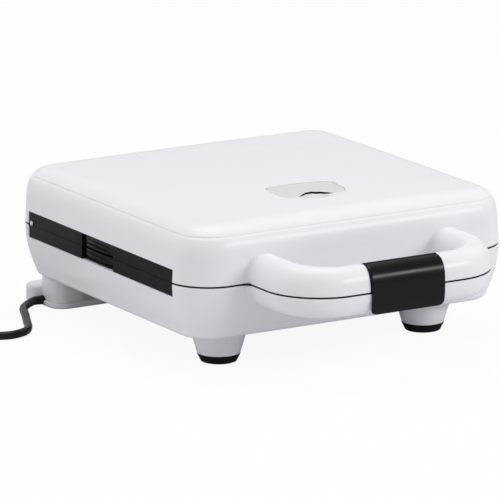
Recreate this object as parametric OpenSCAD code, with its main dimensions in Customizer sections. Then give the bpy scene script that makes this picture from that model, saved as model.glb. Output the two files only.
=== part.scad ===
// Countertop sandwich toaster with a hinged lid, a loop handle with a latch, and lift-out plates.
// Origin: on the table, under the middle of the toaster (its mains lead left out).
// +X is the right side, -Y the front with the handle, +Z up. Millimetres.

/* [Body] */
// Width of the body
body_w = 310; // [290:1:330]
// Depth of the body without handle and lead store
body_d = 300; // [285:1:315]
// Height of the parting plane between base and lid
parting_z = 76; // [74:0.5:80]
// Height of the underside of the base above the table
underside_z = 30; // [28:0.5:32]
// Plan radius of the two front corners
front_r = 36; // [30:1:42]
// Plan radius of the two rear corners
rear_r = 29; // [24:1:36]
// Wall of the white shells
wall = 2.6; // [2:0.1:3]
// Gap between the rims of the two shells
rim_gap = 1.4; // [1:0.1:2]

/* [Lid] */
// Height of the upright part of the lid side above the parting plane
lid_side_h = 18; // [16:0.5:20]
// Height of the rounded shoulder above the upright part
shoulder_h = 29; // [27:0.5:31]
// How far the shoulder draws in
shoulder_in = 24; // [20:0.5:28]
// How far the top is crowned above the shoulder
crown_h = 4.6; // [3:0.1:6]
// Draw-in of the upright part at its top
lid_draft = 1.1; // [0.5:0.1:2]

/* [Base] */
// Radius of the convex side of the base
side_arc_r = 95; // [90:1:110]
// Radius of the edge round the underside
under_r = 5; // [4:0.5:6]

/* [Handle] */
// Half of the outside width of the handle loop
handle_half_w = 103; // [98:1:108]
// Reach of the handle loop in front of the body
handle_reach = 77; // [72:1:82]
// Width of the two arms of the handle
arm_w = 31; // [29:0.5:32]
// Depth of the bar of the handle
bar_d = 27; // [26:0.5:29]
// Radius of the handle's centre line at its two corners
handle_bend_r = 35; // [32:1:38]
// Height of the handle above the parting plane
handle_up = 23; // [22:0.5:24]
// Depth of the handle below the parting plane
handle_down = 17.5; // [17:0.5:19]
// Radius where the handle arms run into the body
root_fillet = 6; // [4:0.5:8]

/* [Latch] */
// Width of the latch
latch_w = 72.6; // [68:0.2:76]
// Wall of the latch
latch_t = 3; // [2.6:0.1:3.2]
// How far the latch stands in front of the handle
latch_proud = 5; // [4.6:0.1:5.4]
// Height of the lower edge of the latch below the parting plane
latch_drop = 15.5; // [15:0.5:16]
// Radius of the latch pin
latch_pin_r = 1.5; // [1.3:0.1:1.7]

/* [Side bands] */
// Distance from the body front to the front end of the side opening
band_front = 33; // [31:1:36]
// Length of the side opening
band_len = 240; // [236:1:241]
// Half height of the side opening
band_half_h = 11.3; // [10.5:0.1:12]
// How far the black bands stand back from the shell surface
band_recess = 1; // [0.6:0.1:1.5]

/* [Plates] */
// Distance from each side of the body to the plates
plate_side = 21; // [20:0.5:25]
// Distance from the front and the rear of the body to the plates
plate_end = 28; // [27:0.5:33]
// Depth of the triangular pockets
pocket_depth = 12; // [10:0.5:13]
// Wall of the cast plates
plate_t = 2.2; // [2:0.1:2.5]
// Width of the ridges between the pockets
ridge_w = 7; // [6:0.5:9]
// Width of the flat rim round the pockets
plate_rim = 9; // [8:0.5:11]
// Gap between the two closed plates
plate_gap = 0.4; // [0.2:0.1:0.8]

/* [Heating] */
// Diameter of the tubular heating elements
element_d = 6.5; // [6:0.1:7]
// Sheet thickness of the reflector pans
pan_t = 0.8; // [0.6:0.1:1]

/* [Hinge] */
// Radius of the hinge pins
hinge_pin_r = 2.5; // [2.2:0.1:2.8]
// Outer radius of the hinge knuckles
knuckle_r = 5.2; // [4.8:0.1:5.4]
// Distance of each hinge from the middle of the body
hinge_x = 85; // [75:1:95]
// Width of the lid's knuckle
lid_knuckle_w = 20; // [16:1:24]
// Width of each of the base's two knuckles
base_knuckle_w = 9.5; // [8:0.5:11]
// Distance of the hinge axis behind the body
hinge_back = 1.5; // [1:0.1:2]

/* [Plate releases] */
// Distance from the body front to the front of the release recess
release_front = 130.5; // [128:0.5:133]
// Length of the release recess
release_len = 52; // [50:0.5:54]
// How far a release tab is pulled out
release_travel = 5; // [4:0.5:6]

/* [Feet and lead store] */
// Distance of the front feet from the middle of the body
foot_x = 99; // [94:1:104]
// Distance of the front feet from the body front
foot_in = 53.7; // [50:0.1:58]
// Radius of a foot where rubber and shell meet
foot_r = 17.8; // [17:0.1:19]
// Radius of a rubber pad on the table
foot_ground_r = 15; // [14:0.1:16]
// Height of the rubber pads
foot_pad_h = 7.2; // [6.4:0.1:8]
// Radius of the foot cone at the underside
foot_top_r = 25.9; // [24:0.1:27]
// Half width of the flange of the lead store
store_half_w = 135; // [130:1:138]
// Half width over the two stand lobes at the rear
lobe_half_w = 140.5; // [139:0.5:144]
// Thickness of the flange of the lead store
store_t = 5; // [4.5:0.5:6]
// Height of the stand lobes
lobe_h = 16; // [14:0.5:18]
// Reach of the stand lobes behind the body
rear_reach = 12; // [10:0.5:14]

/* [Indicator window] */
// Width of the indicator window
lens_w = 62; // [58:1:65]
// Depth of the indicator window
lens_d = 42; // [39:1:44]
// How far the arch in the window's front edge reaches in
lens_arch = 11; // [8:0.5:13]
// Distance of the window's middle from the body front
lens_in = 79; // [76:1:82]

/* [Mains lead] */
// Diameter of the mains lead
lead_d = 7; // [6.6:0.1:7.2]
// Distance between neighbouring turns of the coiled lead
coil_pitch = 7.8; // [7.7:0.1:8]
// Radius of the coil at the middle of its turns
coil_r = 38.5; // [37:0.5:41]
// Edge length of the plug
plug_a = 50; // [48:1:52]
// Thickness of the plug without its pins
plug_h = 24; // [23:0.5:26]

/* [Clearances] */
// Clearance between loose pieces
slack = 0.4; // [0.3:0.05:0.5]
// Radial clearance of the hinge and latch pins in their bores
pin_clear = 0.05; // [0.03:0.01:0.08]

/* [Hidden] */
$fn = 48;
eps = 0.01;

// ---- derived places
latch_reach = handle_reach + latch_proud;
depth_all = latch_reach + body_d + rear_reach;
front_y = latch_reach - depth_all / 2;
rear_y = front_y + body_d;
mid_y = (front_y + rear_y) / 2;
half_w = body_w / 2;
plate_w = body_w - 2 * plate_side;
plate_d = body_d - 2 * plate_end;
lid_rim_z = parting_z + rim_gap / 2;
base_rim_z = parting_z - rim_gap / 2;
lid_top_z = parting_z + lid_side_h + shoulder_h;
hinge_y = rear_y + hinge_back;
hinge_z = parting_z + 1;
hinge_reach = lid_knuckle_w / 2 + base_knuckle_w + 0.5;
bar_y = front_y - handle_reach + bar_d / 2;
arm_x = handle_half_w - arm_w / 2;
plate_half_gap = plate_gap / 2;
floor_z = underside_z + wall;
foot_y = front_y + foot_in;
lens_y = front_y + lens_in;

// ---- plan outline of the body, drawn in by "i", as one ring of points
corner_steps = 6;
side_steps = 3;
inner_steps = 4;
function arc(c, r, a0, a1, n) =
    [for (k = [0:n]) c + r * [cos(a0 + (a1 - a0) * k / n), sin(a0 + (a1 - a0) * k / n)]];
function between(a, b, n) = [for (k = [1:n - 1]) a + (b - a) * k / n];
function plan(i, n) =
    let (x = half_w - i, yf = front_y + i, yr = rear_y - i)
    let (rf = max(front_r - i, 3), rr = max(rear_r - i, 3))
    concat(
        arc([-x + rf, yf + rf], rf, 180, 270, n),
        between([-x + rf, yf], [x - rf, yf], side_steps),
        arc([x - rf, yf + rf], rf, 270, 360, n),
        between([x, yf + rf], [x, yr - rr], side_steps),
        arc([x - rr, yr - rr], rr, 0, 90, n),
        between([x - rr, yr], [-x + rr, yr], side_steps),
        arc([-x + rr, yr - rr], rr, 90, 180, n),
        between([-x, yr - rr], [-x, yf + rf], side_steps)
    );

// The crown is highest in the middle of the lid and dies out at all four sides.
function crown(p) =
    crown_h * (1 - pow(p.x / half_w, 2)) * (1 - pow((p.y - mid_y) / (body_d / 2), 2));
function smooth(t) = let (u = min(max(t, 0), 1)) u * u * (3 - 2 * u);
function ring(i, z, c, n) = [for (p = plan(i, n)) [p.x, p.y, z + c * crown(p)]];

// Draw-in of the lid's outside at height h above the parting plane
function lid_inset(h) =
    h < lid_side_h ? lid_draft * h / lid_side_h
    : lid_draft + shoulder_in * (1 - sqrt(1 - pow((h - lid_side_h) / shoulder_h, 2)));

// Side of the lid: upright with a little draft, then an elliptical shoulder, then the crown.
shoulder_steps = 8;
function lid_rings(t, start_z, n = corner_steps) =
    let (m = n == corner_steps ? shoulder_steps : inner_steps)
    concat(
        [ring(t, start_z, 0, n), ring(t + lid_draft, parting_z + lid_side_h, 0, n)],
        [for (k = [1:m])
            let (a = 90 * k / m)
            ring(
                t + lid_draft + (shoulder_in - t / 2) * (1 - cos(a)),
                parting_z + lid_side_h + (shoulder_h - t) * sin(a),
                smooth(1 - cos(a)),
                n
            )],
        [for (i = [50, 85, 125]) ring(i, lid_top_z - t, 1, n)]
    );

// Side of the base: a wide convex arc below the parting plane, then the rounded lower edge.
base_side_h = parting_z - underside_z - under_r;
function base_inset(h) = side_arc_r - sqrt(side_arc_r * side_arc_r - h * h);
function base_rings(t, top_z, n = corner_steps) = concat(
    [for (k = [3:-1:1])
        let (a = 90 * k / 3)
        ring(
            t + base_inset(base_side_h) + (under_r - t / 2) * (1 - cos(a)),
            parting_z - base_side_h - (under_r - t) * sin(a),
            0,
            n
        )],
    [for (k = [n - 1:-1:1])
        ring(t + base_inset(base_side_h * k / (n - 1)), parting_z - base_side_h * k / (n - 1), 0, n)],
    [ring(t, top_z, 0, n)]
);

// Closed skin through rings of points that lie one above the other.
module skin(rings) {
    n = len(rings[0]);
    m = len(rings);
    polyhedron(
        points = [for (r = rings) each r],
        faces = concat(
            [[for (i = [0:n - 1]) i]],
            [[for (i = [n - 1:-1:0]) (m - 1) * n + i]],
            [for (k = [0:m - 2], i = [0:n - 1])
                [k * n + i, (k + 1) * n + i, (k + 1) * n + (i + 1) % n]],
            [for (k = [0:m - 2], i = [0:n - 1])
                [k * n + i, (k + 1) * n + (i + 1) % n, k * n + (i + 1) % n]]
        )
    );
}

// ---- small shared shapes
// Rounded rectangle from two bars and four discs, about its middle
module plate_outline(w, d, r) {
    square([w - 2 * r, d], center = true);
    square([w, d - 2 * r], center = true);
    for (sx = [-1, 1], sy = [-1, 1])
        translate([sx * (w / 2 - r), sy * (d / 2 - r)]) circle(r);
}
// A shape drawn in the Y-Z plane, carried along X over a length w about the middle
module along_x(w) {
    rotate([90, 0, 90]) linear_extrude(w, center = true) children();
}
module rod_x(r, w) {
    rotate([0, 90, 0]) cylinder(r = r, h = w, center = true);
}
module on_both_sides() {
    for (s = [-1, 1]) scale([s, 1, 1]) children();
}

// ---- handle: a half-round section carried along a loop in front of the body
section_steps = 9;
section_power = 2.3;
bend_steps = 6;
function power_arc(a, b, n, q) =
    [for (k = [0:n]) let (v = 180 * k / n)
        [a * sign(cos(v)) * pow(abs(cos(v)), 2 / q), b * pow(sin(v), 2 / q)]];
// Extra width where an arm runs into the body front, d being the distance from it
function flare(d) =
    let (u = 1 - min(max(d, 0), root_fillet) / root_fillet) root_fillet * (1 - sqrt(1 - u * u));
arm_end_y = bar_y + handle_bend_r;
// Stations on the right half of the loop: [x, y, turn, half width, nearness to the body]
handle_stations = concat(
    [for (d = [-wall - 1, 0, 0.15 * root_fillet, 0.45 * root_fillet, root_fillet])
        [arm_x, front_y - d, 0, arm_w / 2 + flare(d), 1 - max(d, 0) / root_fillet]],
    [for (k = [0:bend_steps]) let (a = 90 * k / bend_steps)
        [
            arm_x - handle_bend_r * (1 - cos(a)),
            arm_end_y - handle_bend_r * sin(a),
            -a,
            (arm_w + (bar_d - arm_w) * k / bend_steps) / 2,
            0
        ]],
    [[0, bar_y, -90, bar_d / 2, 0]]
);
// The whole loop, from the right root round to the left root
handle_path = concat(
    handle_stations,
    [for (k = [len(handle_stations) - 2:-1:0])
        let (s = handle_stations[k]) [-s.x, s.y, -180 - s[2], s[3], s[4]]]
);
// A ring at one station; where it nears the body it leans back with the body's front wall
function handle_ring(s, height, in_lid) =
    let (grow = max(s[3] - arm_w / 2, 0))
    [for (q = power_arc(s[3], height + grow, section_steps, section_power))
        let (lean = s[4] * (in_lid ? lid_inset(q.y) : base_inset(q.y)))
        [s.x + q.x * cos(s[2]), s.y + q.x * sin(s[2]) + lean, parting_z + q.y]];
module handle_half(height, in_lid) {
    for (k = [0:len(handle_path) - 2])
        hull() skin([for (s = [handle_path[k], handle_path[k + 1]]) handle_ring(s, height, in_lid)]);
}
// Outline of the handle at the parting plane, drawn in by "i"
function handle_plan(i) = concat(
    [for (s = handle_path) [s.x, s.y] + (s[3] - i) * [cos(s[2]), sin(s[2])]],
    [for (s = reversed(handle_path)) [s.x, s.y] - (s[3] - i) * [cos(s[2]), sin(s[2])]]
);
// Hollow of a handle half: a channel that is open at the parting plane
channel_w = bar_d - 2 * wall - 1.8;
module handle_channel(height) {
    handle_loop(parting_z - 1, 0.74 * height - wall + 1, channel_w, $fn = 32);
}
// The flat loop that closes a handle half, its lower face at z
module handle_loop(z, h, w) {
    on_both_sides() translate([0, 0, z]) {
        translate([arm_x - w / 2, arm_end_y, 0]) cube([w, front_y - slack - arm_end_y, h]);
        translate([arm_x - handle_bend_r, arm_end_y, 0]) rotate([0, 0, -90])
            rotate_extrude(angle = 90) translate([handle_bend_r - w / 2, 0]) square([w, h]);
        translate([0, bar_y - w / 2, 0]) cube([arm_x - handle_bend_r, w, h]);
    }
}

// ---- latch geometry in the Y-Z plane
latch_out = bar_d / 2 + latch_proud;
latch_power = 2.6;
latch_top = handle_up + 0.4;
latch_drop_full = 2 * latch_drop;
barrel_r = 3.4;
pivot = [bar_y - 1, parting_z + latch_top - barrel_r];
tongue_w = 30;
tongue_r0 = 29;
tongue_r1 = 32;
function latch_arc(t) = concat(
    [for (k = [0:8]) let (v = 90 + 90 * k / 8)
        [bar_y - (latch_out - t) * pow(abs(cos(v)), 2 / latch_power),
         parting_z + (latch_top - t) * pow(sin(v), 2 / latch_power)]],
    [for (k = [1:4]) let (h = latch_drop * k / 4)
        [bar_y - (latch_out - t) * pow(1 - pow(h / latch_drop_full, latch_power), 1 / latch_power),
         parting_z - h]]
);
function reversed(v) = [for (k = [len(v) - 1:-1:0]) v[k]];
// Band between two radii about the latch pivot, under the parting plane and in front of it
module pivot_band(r0, r1, y0, y1) {
    intersection() {
        translate(pivot) difference() {
            circle(r1, $fn = 96);
            circle(r0, $fn = 96);
        }
        translate([y0, parting_z - 30]) square([y1 - y0, 28]);
    }
}

// ---- side openings and release recess
band_y0 = front_y + band_front;
band_y1 = band_y0 + band_len;
release_y0 = front_y + release_front;
release_y1 = release_y0 + release_len;
band_x = half_w - band_recess;
cut_room = 20;
module side_openings() {
    for (s = [-1, 1])
        translate([s * (half_w - 6) - 10, band_y0, parting_z - band_half_h])
            cube([20, band_len, 2 * band_half_h]);
}

// ---- hinge
pin_head_t = 1.2;
module hinge_room() {
    for (s = [-1, 1])
        translate([s * hinge_x, hinge_y, hinge_z])
            rod_x(knuckle_r + 2 * slack, 2 * (hinge_reach + pin_head_t + 2 * slack));
}

// ---- screw posts that join tray and shell of each half
skirt_t = 2.4;
plate_fit = 1.2;
post_r = 4.6;
post_room = 1.3;
post_x = half_w - 30;
post_in = plate_end - plate_fit - skirt_t - post_r - post_room;
post_front = front_y + post_in;
post_rear = rear_y - post_in + post_room;
screw_r = 1.5;
screw_head_r = 3.2;
screw_head_h = 2.4;
screw_len = 18;
head_depth = 8;
module at_posts() {
    for (sx = [-1, 1], y = [post_front, post_rear]) translate([sx * post_x, y, 0]) children();
}
base_post_z = parting_z - 16;
lid_post_z = parting_z + 16;

// Takes away all that stands over the plane z, up to cut_room above it
module all_round_cut(z) {
    translate([-half_w, front_y - handle_reach - cut_room, z])
        cube([body_w, body_d + handle_reach + 2 * cut_room, cut_room]);
}

// ======== base ========
module base_shell() {
    color("whitesmoke") difference() {
        union() {
            difference() {
                union() {
                    skin(base_rings(0, base_rim_z));
                    upside_down() handle_half(handle_down, false);
                }
                skin(base_rings(wall, base_rim_z + 1, inner_steps));
            }
            intersection() {
                skin(base_rings(0, base_rim_z - 1));
                at_posts() translate([0, 0, underside_z]) cylinder(r = post_r + 1, h = base_post_z - underside_z, $fn = 24);
            }
        }
        all_round_cut(base_rim_z);
        upside_down() handle_channel(handle_down);
        side_openings();
        hinge_room();
        at_posts() {
            translate([0, 0, underside_z - 1]) cylinder(r = screw_head_r + slack, h = base_post_z - head_depth - underside_z + 1, $fn = 24);
            translate([0, 0, underside_z]) cylinder(r = screw_r + slack, h = base_post_z, $fn = 16);
        }
        along_x(tongue_w + 2 * slack) pivot_band(tongue_r0 - slack, tongue_r1 + slack, bar_y - 20, bar_y - 7);
    }
}

// Tray of one half, built for the base; its top face lies half the plate gap below the parting plane
tray_top = parting_z - plate_half_gap;
tray_t = 3;
lid_face_z = 2 * parting_z - tray_top;
skirt_z = parting_z - 18;
hole_w = plate_w + 2 * plate_fit;
hole_d = plate_d + 2 * plate_fit;
plate_r = 14;
seat_z = parting_z - 7;
lug_z = parting_z - 4.2;
lug_t = 2.4;
lug_w = 20;
lug_reach = 6;
right_lug_y = 60;
tab_t = 2.4;
release_x = -half_w + 12;
lip_in = 0.6;
lip_h = tray_top - base_rim_z;
module tray_body() {
    difference() {
        union() {
            difference() {
                translate([0, 0, base_rim_z]) linear_extrude(lip_h) polygon(plan(lip_in, inner_steps));
                side_openings();
                hinge_room();
            }
            translate([0, 0, tray_top - tray_t]) linear_extrude(tray_t) polygon(plan(wall + slack, inner_steps));
            translate([0, mid_y, skirt_z]) linear_extrude(tray_top - skirt_z)
                plate_outline(hole_w + 2 * skirt_t, hole_d + 2 * skirt_t, plate_r + plate_fit + skirt_t);
            for (s = [-1, 1])
                translate([s * (band_x - 2) - 2, band_y0 + slack, parting_z - band_half_h + slack])
                    cube([4, band_len - 2 * slack, band_half_h - slack - plate_half_gap]);
            at_posts() translate([0, 0, base_post_z]) cylinder(r = post_r, h = tray_top - base_post_z);
            translate([-half_w + band_recess + 2, release_y0 - 2, parting_z - band_half_h + slack])
                cube([12, release_len + 4, band_half_h - slack - plate_half_gap]);
        }
        translate([0, mid_y, skirt_z - 1]) linear_extrude(seat_z - skirt_z + 1 + eps)
            plate_outline(hole_w - 8, hole_d - 8, plate_r - 2);
        translate([0, mid_y, seat_z]) linear_extrude(30) plate_outline(hole_w, hole_d, plate_r + plate_fit);
        at_posts() translate([0, 0, base_post_z - 1]) cylinder(r = screw_r, h = tray_top - tray_t - base_post_z + 2);
        translate([-half_w - 1, release_y0, parting_z - band_half_h - 1])
            cube([release_x + half_w + 1, release_len, band_half_h + 2]);
        // Slot for the release tongue, notch for the left lug and slots for the right lugs
        translate([-half_w, mid_y - lug_w / 2 - slack, lug_z + slack / 2])
            cube([half_w - plate_w / 2, lug_w + 2 * slack, tab_t]);
        translate([-plate_w / 2 - lug_reach - slack, mid_y - lug_w / 2 - slack, lug_z - lug_t - slack / 2])
            cube([lug_reach + slack, lug_w + 2 * slack, band_half_h]);
        for (y = [-right_lug_y, right_lug_y])
            translate([hole_w / 2 - 1, mid_y + y - lug_w / 2 - slack, lug_z - lug_t - slack / 2])
                cube([skirt_t + 4, lug_w + 2 * slack, lug_t + slack]);
    }
}
// Bearing of one hinge side: a round knuckle on an arm that comes from the tray's rear edge
module knuckle(w, z0, z1) {
    difference() {
        union() {
            rod_x(knuckle_r, w);
            translate([-w / 2, rear_y - wall - slack - 2 - hinge_y, z0 - hinge_z])
                cube([w, hinge_back + wall + slack + 2, z1 - z0]);
        }
        rod_x(hinge_pin_r + pin_clear, w + 2);
    }
}
module base_tray() {
    color("#242427") {
        difference() {
            tray_body();
            hinge_gaps(lid_knuckle_w + 1);
        }
        for (s = [-1, 1], k = [-1, 1])
            translate([s * hinge_x + k * (lid_knuckle_w + base_knuckle_w + 1) / 2, hinge_y, hinge_z])
                knuckle(base_knuckle_w, tray_top - tray_t, tray_top);
    }
}
// Room in the other half's tray edge for a knuckle as it turns
module hinge_gaps(w) {
    for (s = [-1, 1]) translate([s * hinge_x, hinge_y, hinge_z]) rod_x(knuckle_r + slack, w);
}

// ---- baking plates: two by two slices, each cut corner to corner into two pockets
cell_w = (plate_w - 2 * plate_rim + ridge_w) / 2;
cell_d = (plate_d - 2 * plate_rim + ridge_w) / 2;
pocket_corner_r = 7;
// Corners of the pocket triangle on one side of a slice's diagonal, drawn in by "i"
function pocket_corners(i) =
    let (w = cell_w - ridge_w - 2 * i, d = cell_d - ridge_w - 2 * i)
    let (k = (ridge_w / 2 + i) * sqrt(w * w + d * d) / d)
    let (m = (ridge_w / 2 + i) * sqrt(w * w + d * d) / w)
    [[-w / 2, -d / 2], [w / 2 - k, -d / 2], [-w / 2, d / 2 - m]];
module pocket(i, depth, r) {
    hull() {
        for (c = pocket_corners(i + r)) translate([c.x, c.y, -eps]) cylinder(r = r, h = eps, $fn = 12);
        for (c = pocket_corners(i + r + depth * 0.45))
            translate([c.x, c.y, -depth]) cylinder(r = r * 0.75, h = 2, $fn = 12);
    }
}
// The four slices; the diagonals meet in the middle of the plate
module at_pockets() {
    for (sx = [-1, 1], sy = [-1, 1])
        translate([sx * cell_w / 2, sy * cell_d / 2, 0]) scale([-sx, sy, 1])
            for (turn = [0, 180]) rotate([0, 0, turn]) children();
}
// Top of a baking plate with its edge, its lugs and the sloping walls of its pockets
module plate_deck() {
    edge_h = parting_z - plate_half_gap - seat_z;
    lug_top = lug_z - parting_z + plate_half_gap;
    translate([0, mid_y, tray_top]) difference() {
        union() {
            translate([0, 0, -plate_t]) linear_extrude(plate_t) plate_outline(plate_w, plate_d, plate_r);
            translate([0, 0, -edge_h]) linear_extrude(edge_h) difference() {
                plate_outline(plate_w, plate_d, plate_r);
                plate_outline(plate_w - 2 * edge_t, plate_d - 2 * edge_t, plate_r - edge_t);
            }
            translate([-plate_w / 2 - lug_reach, -lug_w / 2, lug_top - lug_t]) cube([lug_reach + 2, lug_w, lug_t]);
            for (y = [-right_lug_y, right_lug_y])
                translate([plate_w / 2 - 2, y - lug_w / 2, lug_top - lug_t])
                    cube([skirt_t + plate_fit + 1.4, lug_w, lug_t]);
            at_pockets() pocket(-plate_t, pocket_depth + plate_t, pocket_corner_r);
        }
        translate([0, 0, eps]) at_pockets() pocket(0, pocket_depth + eps, pocket_corner_r - plate_t / 2);
        translate([0, 0, -pocket_depth - 2 * plate_t]) linear_extrude(2 * plate_t)
            plate_outline(plate_w, plate_d, plate_r);
        translate([0, 0, -2 * pocket_depth]) linear_extrude(3 * pocket_depth) plate_joints();
    }
}
edge_t = 2.5;
// Hairline joints between the straight runs of a plate: four rims, four arms, four diagonals, hub and corners
joint_w = 0.04;
rim_run = 17;
hub_w = 76;
corner_run = 29;
module plate_joints() {
    x = plate_w / 2 - rim_run;
    y = plate_d / 2 - rim_run;
    outline_joint(2 * x, 2 * y);
    outline_joint(hub_w, hub_w);
    for (sx = [-1, 1], sy = [-1, 1]) {
        translate([sx * (x - corner_run / 2), sy * (y - corner_run / 2)]) outline_joint(corner_run, corner_run);
        translate([sx * x, sy * y]) rotate(atan2(sy, sx)) translate([0, -joint_w / 2]) square([2 * rim_run, joint_w]);
    }
}
module outline_joint(w, d) {
    difference() {
        square([w + joint_w, d + joint_w], center = true);
        square([w - joint_w, d - joint_w], center = true);
    }
}
// The eight triangular floors of a baking plate, under the walls of its pockets
module pocket_floors() {
    translate([0, mid_y, tray_top]) intersection() {
        at_pockets() pocket(-plate_t, pocket_depth + plate_t, pocket_corner_r);
        translate([0, 0, -pocket_depth - 2 * plate_t]) linear_extrude(2 * plate_t)
            plate_outline(plate_w, plate_d, plate_r);
    }
}
module lower_plate() {
    color("#2e2d2f") plate_deck();
}
module lower_floors() {
    color("#2e2d2f") pocket_floors();
}

// ---- reflector pans, heating elements and their saddles
pan_z = skirt_z - 8.5;
element_z = tray_top - pocket_depth - plate_t - element_d / 2 - 0.1;
module pan_body() {
    w = hole_w + 2 * skirt_t;
    d = hole_d + 2 * skirt_t;
    translate([0, mid_y, 0]) difference() {
        translate([0, 0, pan_z]) linear_extrude(skirt_z - pan_z) plate_outline(w, d, plate_r + plate_fit + skirt_t);
        translate([0, 0, pan_z + pan_t]) linear_extrude(skirt_z - pan_z)
            plate_outline(w - 2 * pan_t - 6, d - 2 * pan_t - 6, plate_r + plate_fit + skirt_t - pan_t - 3);
        translate([0, 0, pan_z - 1]) linear_extrude(skirt_z - pan_z + 1 - pan_t) difference() {
            plate_outline(w + 2, d + 2, plate_r + plate_fit + skirt_t);
            plate_outline(w - 6, d - 6, plate_r + plate_fit + skirt_t - 3);
        }
        for (s = [-1, 1]) translate([s * terminal_x, element_rear - mid_y + terminal_bend_r, pan_z - 1])
            cylinder(r = element_d, h = pan_t + 2);
    }
}
element_in = 50;
element_half_w = plate_w / 2 - element_in;
element_front = mid_y - plate_d / 2 + element_in;
element_rear = mid_y + plate_d / 2 - element_in;
element_bend_r = 26;
terminal_x = 34;
terminal_bend_r = 14;
terminal_len = 14;
terminal_pin_r = 1.6;
terminal_pin_len = 8;
// Rounded loop of tube that is open at the rear, where its two ends turn to the terminals
module element_body() {
    r = element_d / 2;
    on_both_sides() translate([0, 0, element_z]) {
        x = element_half_w;
        b = element_bend_r;
        translate([-eps, element_front, 0]) rotate([0, 90, 0]) cylinder(r = r, h = x - b + eps);
        translate([x - b, element_front + b, 0]) rotate([0, 0, -90]) tube_bend(b, r);
        translate([x, element_front + b, 0]) rotate([-90, 0, 0]) cylinder(r = r, h = element_rear - element_front - 2 * b);
        translate([x - b, element_rear - b, 0]) tube_bend(b, r);
        c = terminal_bend_r;
        translate([terminal_x + c, element_rear, 0]) rotate([0, 90, 0]) cylinder(r = r, h = x - b - terminal_x - c);
        translate([terminal_x + c, element_rear + c, 0]) rotate([0, 0, 180]) tube_bend(c, r);
        translate([terminal_x, element_rear + c, 0]) rotate([-90, 0, 0]) {
            cylinder(r = r, h = terminal_len);
            cylinder(r = terminal_pin_r, h = terminal_len + terminal_pin_len);
        }
    }
}
module tube_bend(b, r) {
    rotate_extrude(angle = 90) translate([b, 0]) circle(r);
}
saddle_w = 14;
saddle_d = 8;
saddle_y = 34;
module saddle_bodies() {
    for (sx = [-1, 1], sy = [-1, 1])
        translate([sx * element_half_w, mid_y + sy * saddle_y, pan_z + pan_t]) difference() {
            translate([-saddle_w / 2, -saddle_d / 2, 0]) cube([saddle_w, saddle_d, element_z - pan_z - pan_t + 1]);
            translate([0, 0, element_z - pan_z - pan_t]) rotate([90, 0, 0])
                cylinder(r = element_d / 2 + pin_clear, h = saddle_d + 2, center = true);
        }
}
module lower_reflector() {
    color("#c4c6c8") pan_body();
}
module lower_element() {
    color("#8d8c8a") element_body();
}
module lower_saddles() {
    color("#b9babd") saddle_bodies();
}
// Flat black loop in a handle half, with a thin lip over the white rim on both sides
module handle_insert() {
    handle_loop(tray_top - tray_t, tray_t, channel_w - 2 * slack);
    translate([0, 0, base_rim_z]) linear_extrude(lip_h) difference() {
        polygon(handle_plan(lip_in));
        translate([-half_w, front_y + lip_in]) square([body_w, cut_room]);
    }
}
module lower_handle_insert() {
    color("#1f1e21") handle_insert();
}

// ---- feet
foot_spigot_r = 5;
foot_spigot_h = wall + 1;
module foot_cones() {
    color("whitesmoke") for (s = [-1, 1]) translate([s * foot_x, foot_y, foot_pad_h]) difference() {
        cylinder(r1 = foot_r, r2 = foot_top_r, h = underside_z - foot_pad_h);
        translate([0, 0, -1]) cylinder(r = foot_spigot_r + slack, h = foot_spigot_h + slack + 1);
    }
}
module foot_pads() {
    color("#161616") for (s = [-1, 1]) translate([s * foot_x, foot_y, 0])
        rotate_extrude() polygon([
            [0, 0], [foot_ground_r - 0.8, 0], [foot_ground_r, 0.8], [foot_r, foot_pad_h - 1.2],
            [foot_r, foot_pad_h], [foot_spigot_r, foot_pad_h],
            [foot_spigot_r, foot_pad_h + foot_spigot_h], [0, foot_pad_h + foot_spigot_h]
        ]);
}

// ---- lead store: flange on the table, drum under the base and two lobes to stand on
store_front = rear_y - 38;
store_rear = rear_y + 4;
store_r = 15;
drum_in = 13;
groove_in = 9;
lobe_w = 40;
lobe_d = 21;
exit_y = rear_y - 13;
exit_z = 4.6;
gland_r = 4.5;
gland_len = 20;
boot_len = 7;
module lead_store() {
    d = store_rear - store_front;
    color("whitesmoke") difference() {
        union() {
            translate([0, (store_front + store_rear) / 2, 0]) linear_extrude(store_t)
                plate_outline(2 * store_half_w, d, store_r);
            translate([0, (store_front + store_rear) / 2, 0]) linear_extrude(underside_z)
                plate_outline(2 * (store_half_w - drum_in), d - 2 * groove_in, store_r - 6);
            for (s = [-1, 1]) translate([s * (lobe_half_w - lobe_w / 2), rear_y + rear_reach - lobe_d / 2, 0])
                linear_extrude(lobe_h) plate_outline(lobe_w, lobe_d, lobe_d / 2 - 0.5);
            translate([-store_half_w + 8, exit_y, exit_z]) rotate([0, 90, 0]) cylinder(r = gland_r + 3, h = drum_in + 4);
        }
        translate([0, 0, -50]) cube([2 * body_w, 2 * body_w, 100], center = true);
        translate([-store_half_w - 20, exit_y, exit_z]) rotate([0, 90, 0]) cylinder(r = gland_r + 0.02, h = 44);
    }
}
module lead_gland() {
    color("#1b1b1d") translate([-store_half_w + gland_len, exit_y, exit_z]) rotate([0, -90, 0]) difference() {
        union() {
            cylinder(r = gland_r, h = gland_len);
            translate([0, 0, gland_len]) cylinder(r1 = gland_r, r2 = lead_d / 2 + 0.5, h = boot_len);
        }
        translate([0, 0, gland_len - lead_d]) cylinder(r = lead_d / 2, h = gland_len + boot_len);
    }
}

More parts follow.
